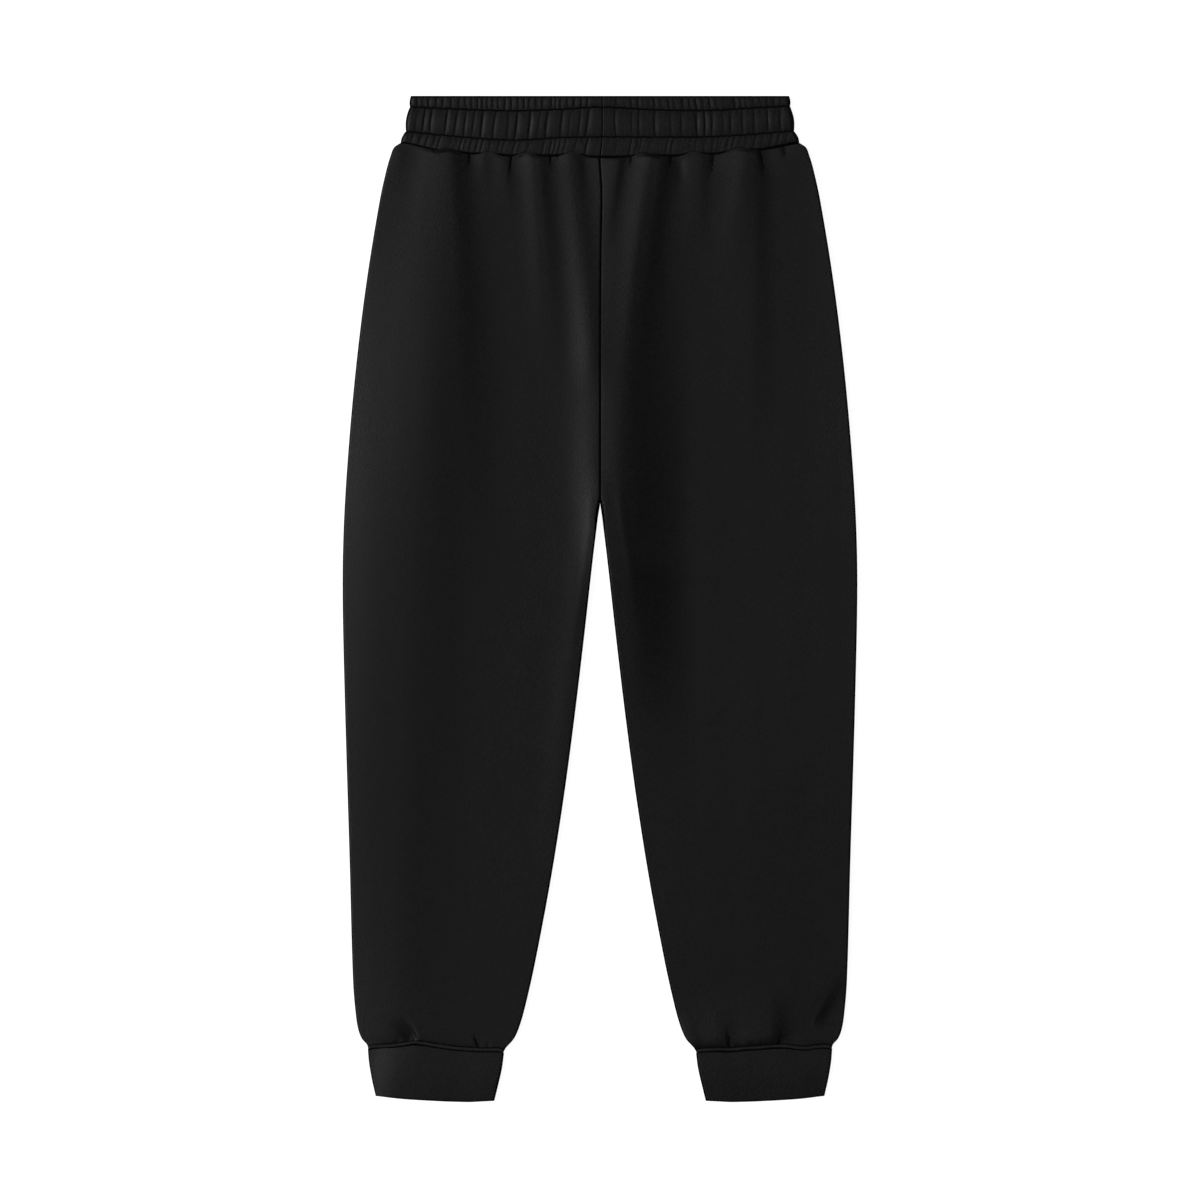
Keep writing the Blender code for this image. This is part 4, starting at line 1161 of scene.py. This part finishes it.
def knit_material(name, base, rough=KNIT_ROUGHNESS, gloss=KNIT_GLOSS):
    """Smooth black knit: fine wales and courses, a matt nap and an uneven tone."""
    made = bpy.data.materials.new(name)
    made.use_nodes = True
    nodes, links = made.node_tree.nodes, made.node_tree.links
    shader = nodes["Principled BSDF"]
    place = nodes.new("ShaderNodeTexCoord").outputs["Object"]

    def node(kind, source=None, into="Vector", **inputs):
        new = nodes.new("ShaderNode" + kind)
        for key, value in inputs.items():
            new.inputs[key.replace("_", " ")].default_value = value
        if source is not None:
            links.new(source, new.inputs[into])
        return new

    def noise(scale, detail, stretch=(1, 1, 1)):
        mapping = node("Mapping", place, Scale=stretch)
        texture = node("TexNoise", mapping.outputs["Vector"], Scale=scale, Detail=detail)
        return texture.outputs["Fac"]

    def wave(pitch, direction, distortion):
        texture = node("TexWave", place, Scale=1 / pitch, Distortion=distortion, Detail_Scale=3.0)
        texture.bands_direction = direction
        return texture.outputs["Fac"]

    def mix(kind, *values):
        new = node("Math")
        new.operation = kind
        for socket, value in zip(new.inputs, values):
            if isinstance(value, (int, float)):
                socket.default_value = value
            else:
                links.new(value, socket)
        return new.outputs[0]

    def added(*parts):
        """The sum of (value, share) pairs."""
        total = None
        for value, share in parts:
            part = mix("MULTIPLY", value, share)
            total = part if total is None else mix("ADD", total, part)
        return total

    speckle = noise(SPECKLE_SCALE, 3.0, (0.9, 1.0, 1.0))
    nap = noise(NAP_SCALE, 4.0, (1.0, 0.5, 1.0))
    tone = node("ValToRGB", added((speckle, 0.9), (nap, 0.1)), "Fac")
    for stop, end, size in zip(tone.color_ramp.elements, TONE_ENDS, TONE_SIZES):
        stop.position = end
        stop.color = (size * base, size * base, size * base, 1)
    links.new(tone.outputs["Color"], shader.inputs["Base Color"])
    uneven = mix("MULTIPLY_ADD", speckle, ROUGHNESS_SPREAD, rough - 0.5 * ROUGHNESS_SPREAD)
    links.new(uneven, shader.inputs["Roughness"])
    wales, courses = wave(WALE_PITCH, "X", 2.6), wave(COURSE_PITCH, "Y", 2.8)
    relief = added((wales, 0.4), (courses, 0.3), (noise(FUZZ_SCALE, 2.0), 0.35), (speckle, 2.0))
    bump = node("Bump", relief, "Height", Strength=BUMP_STRENGTH, Distance=BUMP_DISTANCE)
    links.new(bump.outputs["Normal"], shader.inputs["Normal"])
    shader.inputs["Specular IOR Level"].default_value = gloss
    shader.inputs["Sheen Weight"].default_value = 0.01
    shader.inputs["Sheen Roughness"].default_value = 0.4
    return made


KEY_ELEVATION, KEY_AZIMUTH = 52.0, 8.0
KEY_DISTANCE, KEY_SIZE, KEY_POWER = 25.0, 8.0, 4900.0
WORLD_LIGHT = 0.1
FLOOR_TONE, FLOOR_GLOW = 0.3, 0.95
FLOOR_SIZE, FLOOR_DROP = 12.0, 0.0004
LENS, SENSOR = 180.0, 36.0
CAMERA_PLACE = (0.0, -0.001, 6.0035)


def plain_floor():
    made = bpy.data.materials.new("floor_white")
    made.use_nodes = True
    shader = made.node_tree.nodes["Principled BSDF"]
    shader.inputs["Base Color"].default_value = (FLOOR_TONE, FLOOR_TONE, FLOOR_TONE, 1)
    shader.inputs["Roughness"].default_value = 0.9
    shader.inputs["Specular IOR Level"].default_value = 0.1
    shader.inputs["Emission Color"].default_value = (1, 1, 1, 1)
    shader.inputs["Emission Strength"].default_value = FLOOR_GLOW
    bpy.ops.mesh.primitive_plane_add(size=FLOOR_SIZE, location=(0, 0, -FLOOR_DROP))
    floor = bpy.context.object
    floor.name = "floor"
    floor.data.materials.append(made)
    floor.visible_glossy = False
    floor.visible_diffuse = False


def area_light(name, location, size, power):
    light = bpy.data.lights.new(name, "AREA")
    light.shape = "SQUARE"
    light.size = size
    light.energy = power
    obj = bpy.data.objects.new(name, light)
    obj.location = location
    obj.rotation_euler = (-Vector(location)).to_track_quat("-Z", "Y").to_euler()
    bpy.context.scene.collection.objects.link(obj)


def studio():
    plain_floor()
    elevation, azimuth = math.radians(KEY_ELEVATION), math.radians(KEY_AZIMUTH)
    level = KEY_DISTANCE * math.cos(elevation)
    height = KEY_DISTANCE * math.sin(elevation)
    place = (-level * math.cos(azimuth), level * math.sin(azimuth), height)
    area_light("key_left", place, KEY_SIZE, KEY_POWER)
    world = bpy.data.worlds.new("studio")
    world.use_nodes = True
    background = world.node_tree.nodes["Background"]
    background.inputs["Color"].default_value = (1, 1, 1, 1)
    background.inputs["Strength"].default_value = WORLD_LIGHT
    bpy.context.scene.world = world
    bpy.context.scene.view_settings.view_transform = "Standard"
    camera = bpy.data.cameras.new("camera")
    camera.lens = LENS
    camera.sensor_width = SENSOR
    obj = bpy.data.objects.new("camera", camera)
    obj.location = CAMERA_PLACE
    bpy.context.scene.collection.objects.link(obj)
    bpy.context.scene.camera = obj


# ------------ the whole garment
def finish_piece(obj, slot, *nodes):
    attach(obj, "root")
    if nodes:
        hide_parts(*nodes)


def build():
    leg_knit, band_knit, cuff_knit = (
        knit_material(f"{piece}_knit_black", KNIT_BLACK) for piece in ("leg", "waistband", "cuff")
    )
    # glossier hem strip, made lighter with a painted highlight
    strip_highlight_knit = knit_material("pressed_strip_painted_highlight", STRIP_HIGHLIGHT_BLACK, gloss=0.21)
    # painted shade in the seams, along the waistband's stitched lines and round the edges
    painted_shade_knit = knit_material("seam_and_edge_painted_shade", DEPTH_BLACK, gloss=0.02)
    thread = knit_material("thread_black", THREAD_BLACK, gloss=0.08)
    # painted shade for the middle of the sharp tucks
    tuck_shade_knit = knit_material("tuck_shade_black", TUCK_SHADE_BLACK, gloss=0.07)
    band, band_lines = waistband("waistband_cloth", [band_knit, painted_shade_knit])
    seams = stitches("waistband_stitches", band_lines, thread)
    finish_piece(band, "waistband_knit", "waistband")
    finish_piece(seams, "waistband_knit")
    leg_knits = [leg_knit, painted_shade_knit, strip_highlight_knit, tuck_shade_knit]
    for side, word in ((-1, "left"), (1, "right")):
        back, back_line = leg_panel(f"back_panel_{word}", side, True, leg_knits)
        front, front_line = leg_panel(f"front_panel_{word}", side, False, leg_knits)
        hem = stitches(f"cuff_stitches_{word}", [back_line, front_line], thread)
        ring = cuff(f"cuff_cloth_{word}", side, [cuff_knit, painted_shade_knit])
        finish_piece(back, "leg_knit", f"back_leg_{word}")
        finish_piece(front, "leg_knit", f"front_leg_{word}")
        finish_piece(hem, "leg_knit")
        finish_piece(ring, "cuff_knit", f"cuff_{word}")


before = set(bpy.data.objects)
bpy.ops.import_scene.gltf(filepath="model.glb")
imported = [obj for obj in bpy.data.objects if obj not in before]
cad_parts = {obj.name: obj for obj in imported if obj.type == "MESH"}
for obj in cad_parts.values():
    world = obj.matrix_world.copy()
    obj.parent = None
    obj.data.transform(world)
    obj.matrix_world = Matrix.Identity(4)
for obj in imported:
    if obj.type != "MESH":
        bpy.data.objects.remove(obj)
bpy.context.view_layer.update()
build()
studio()
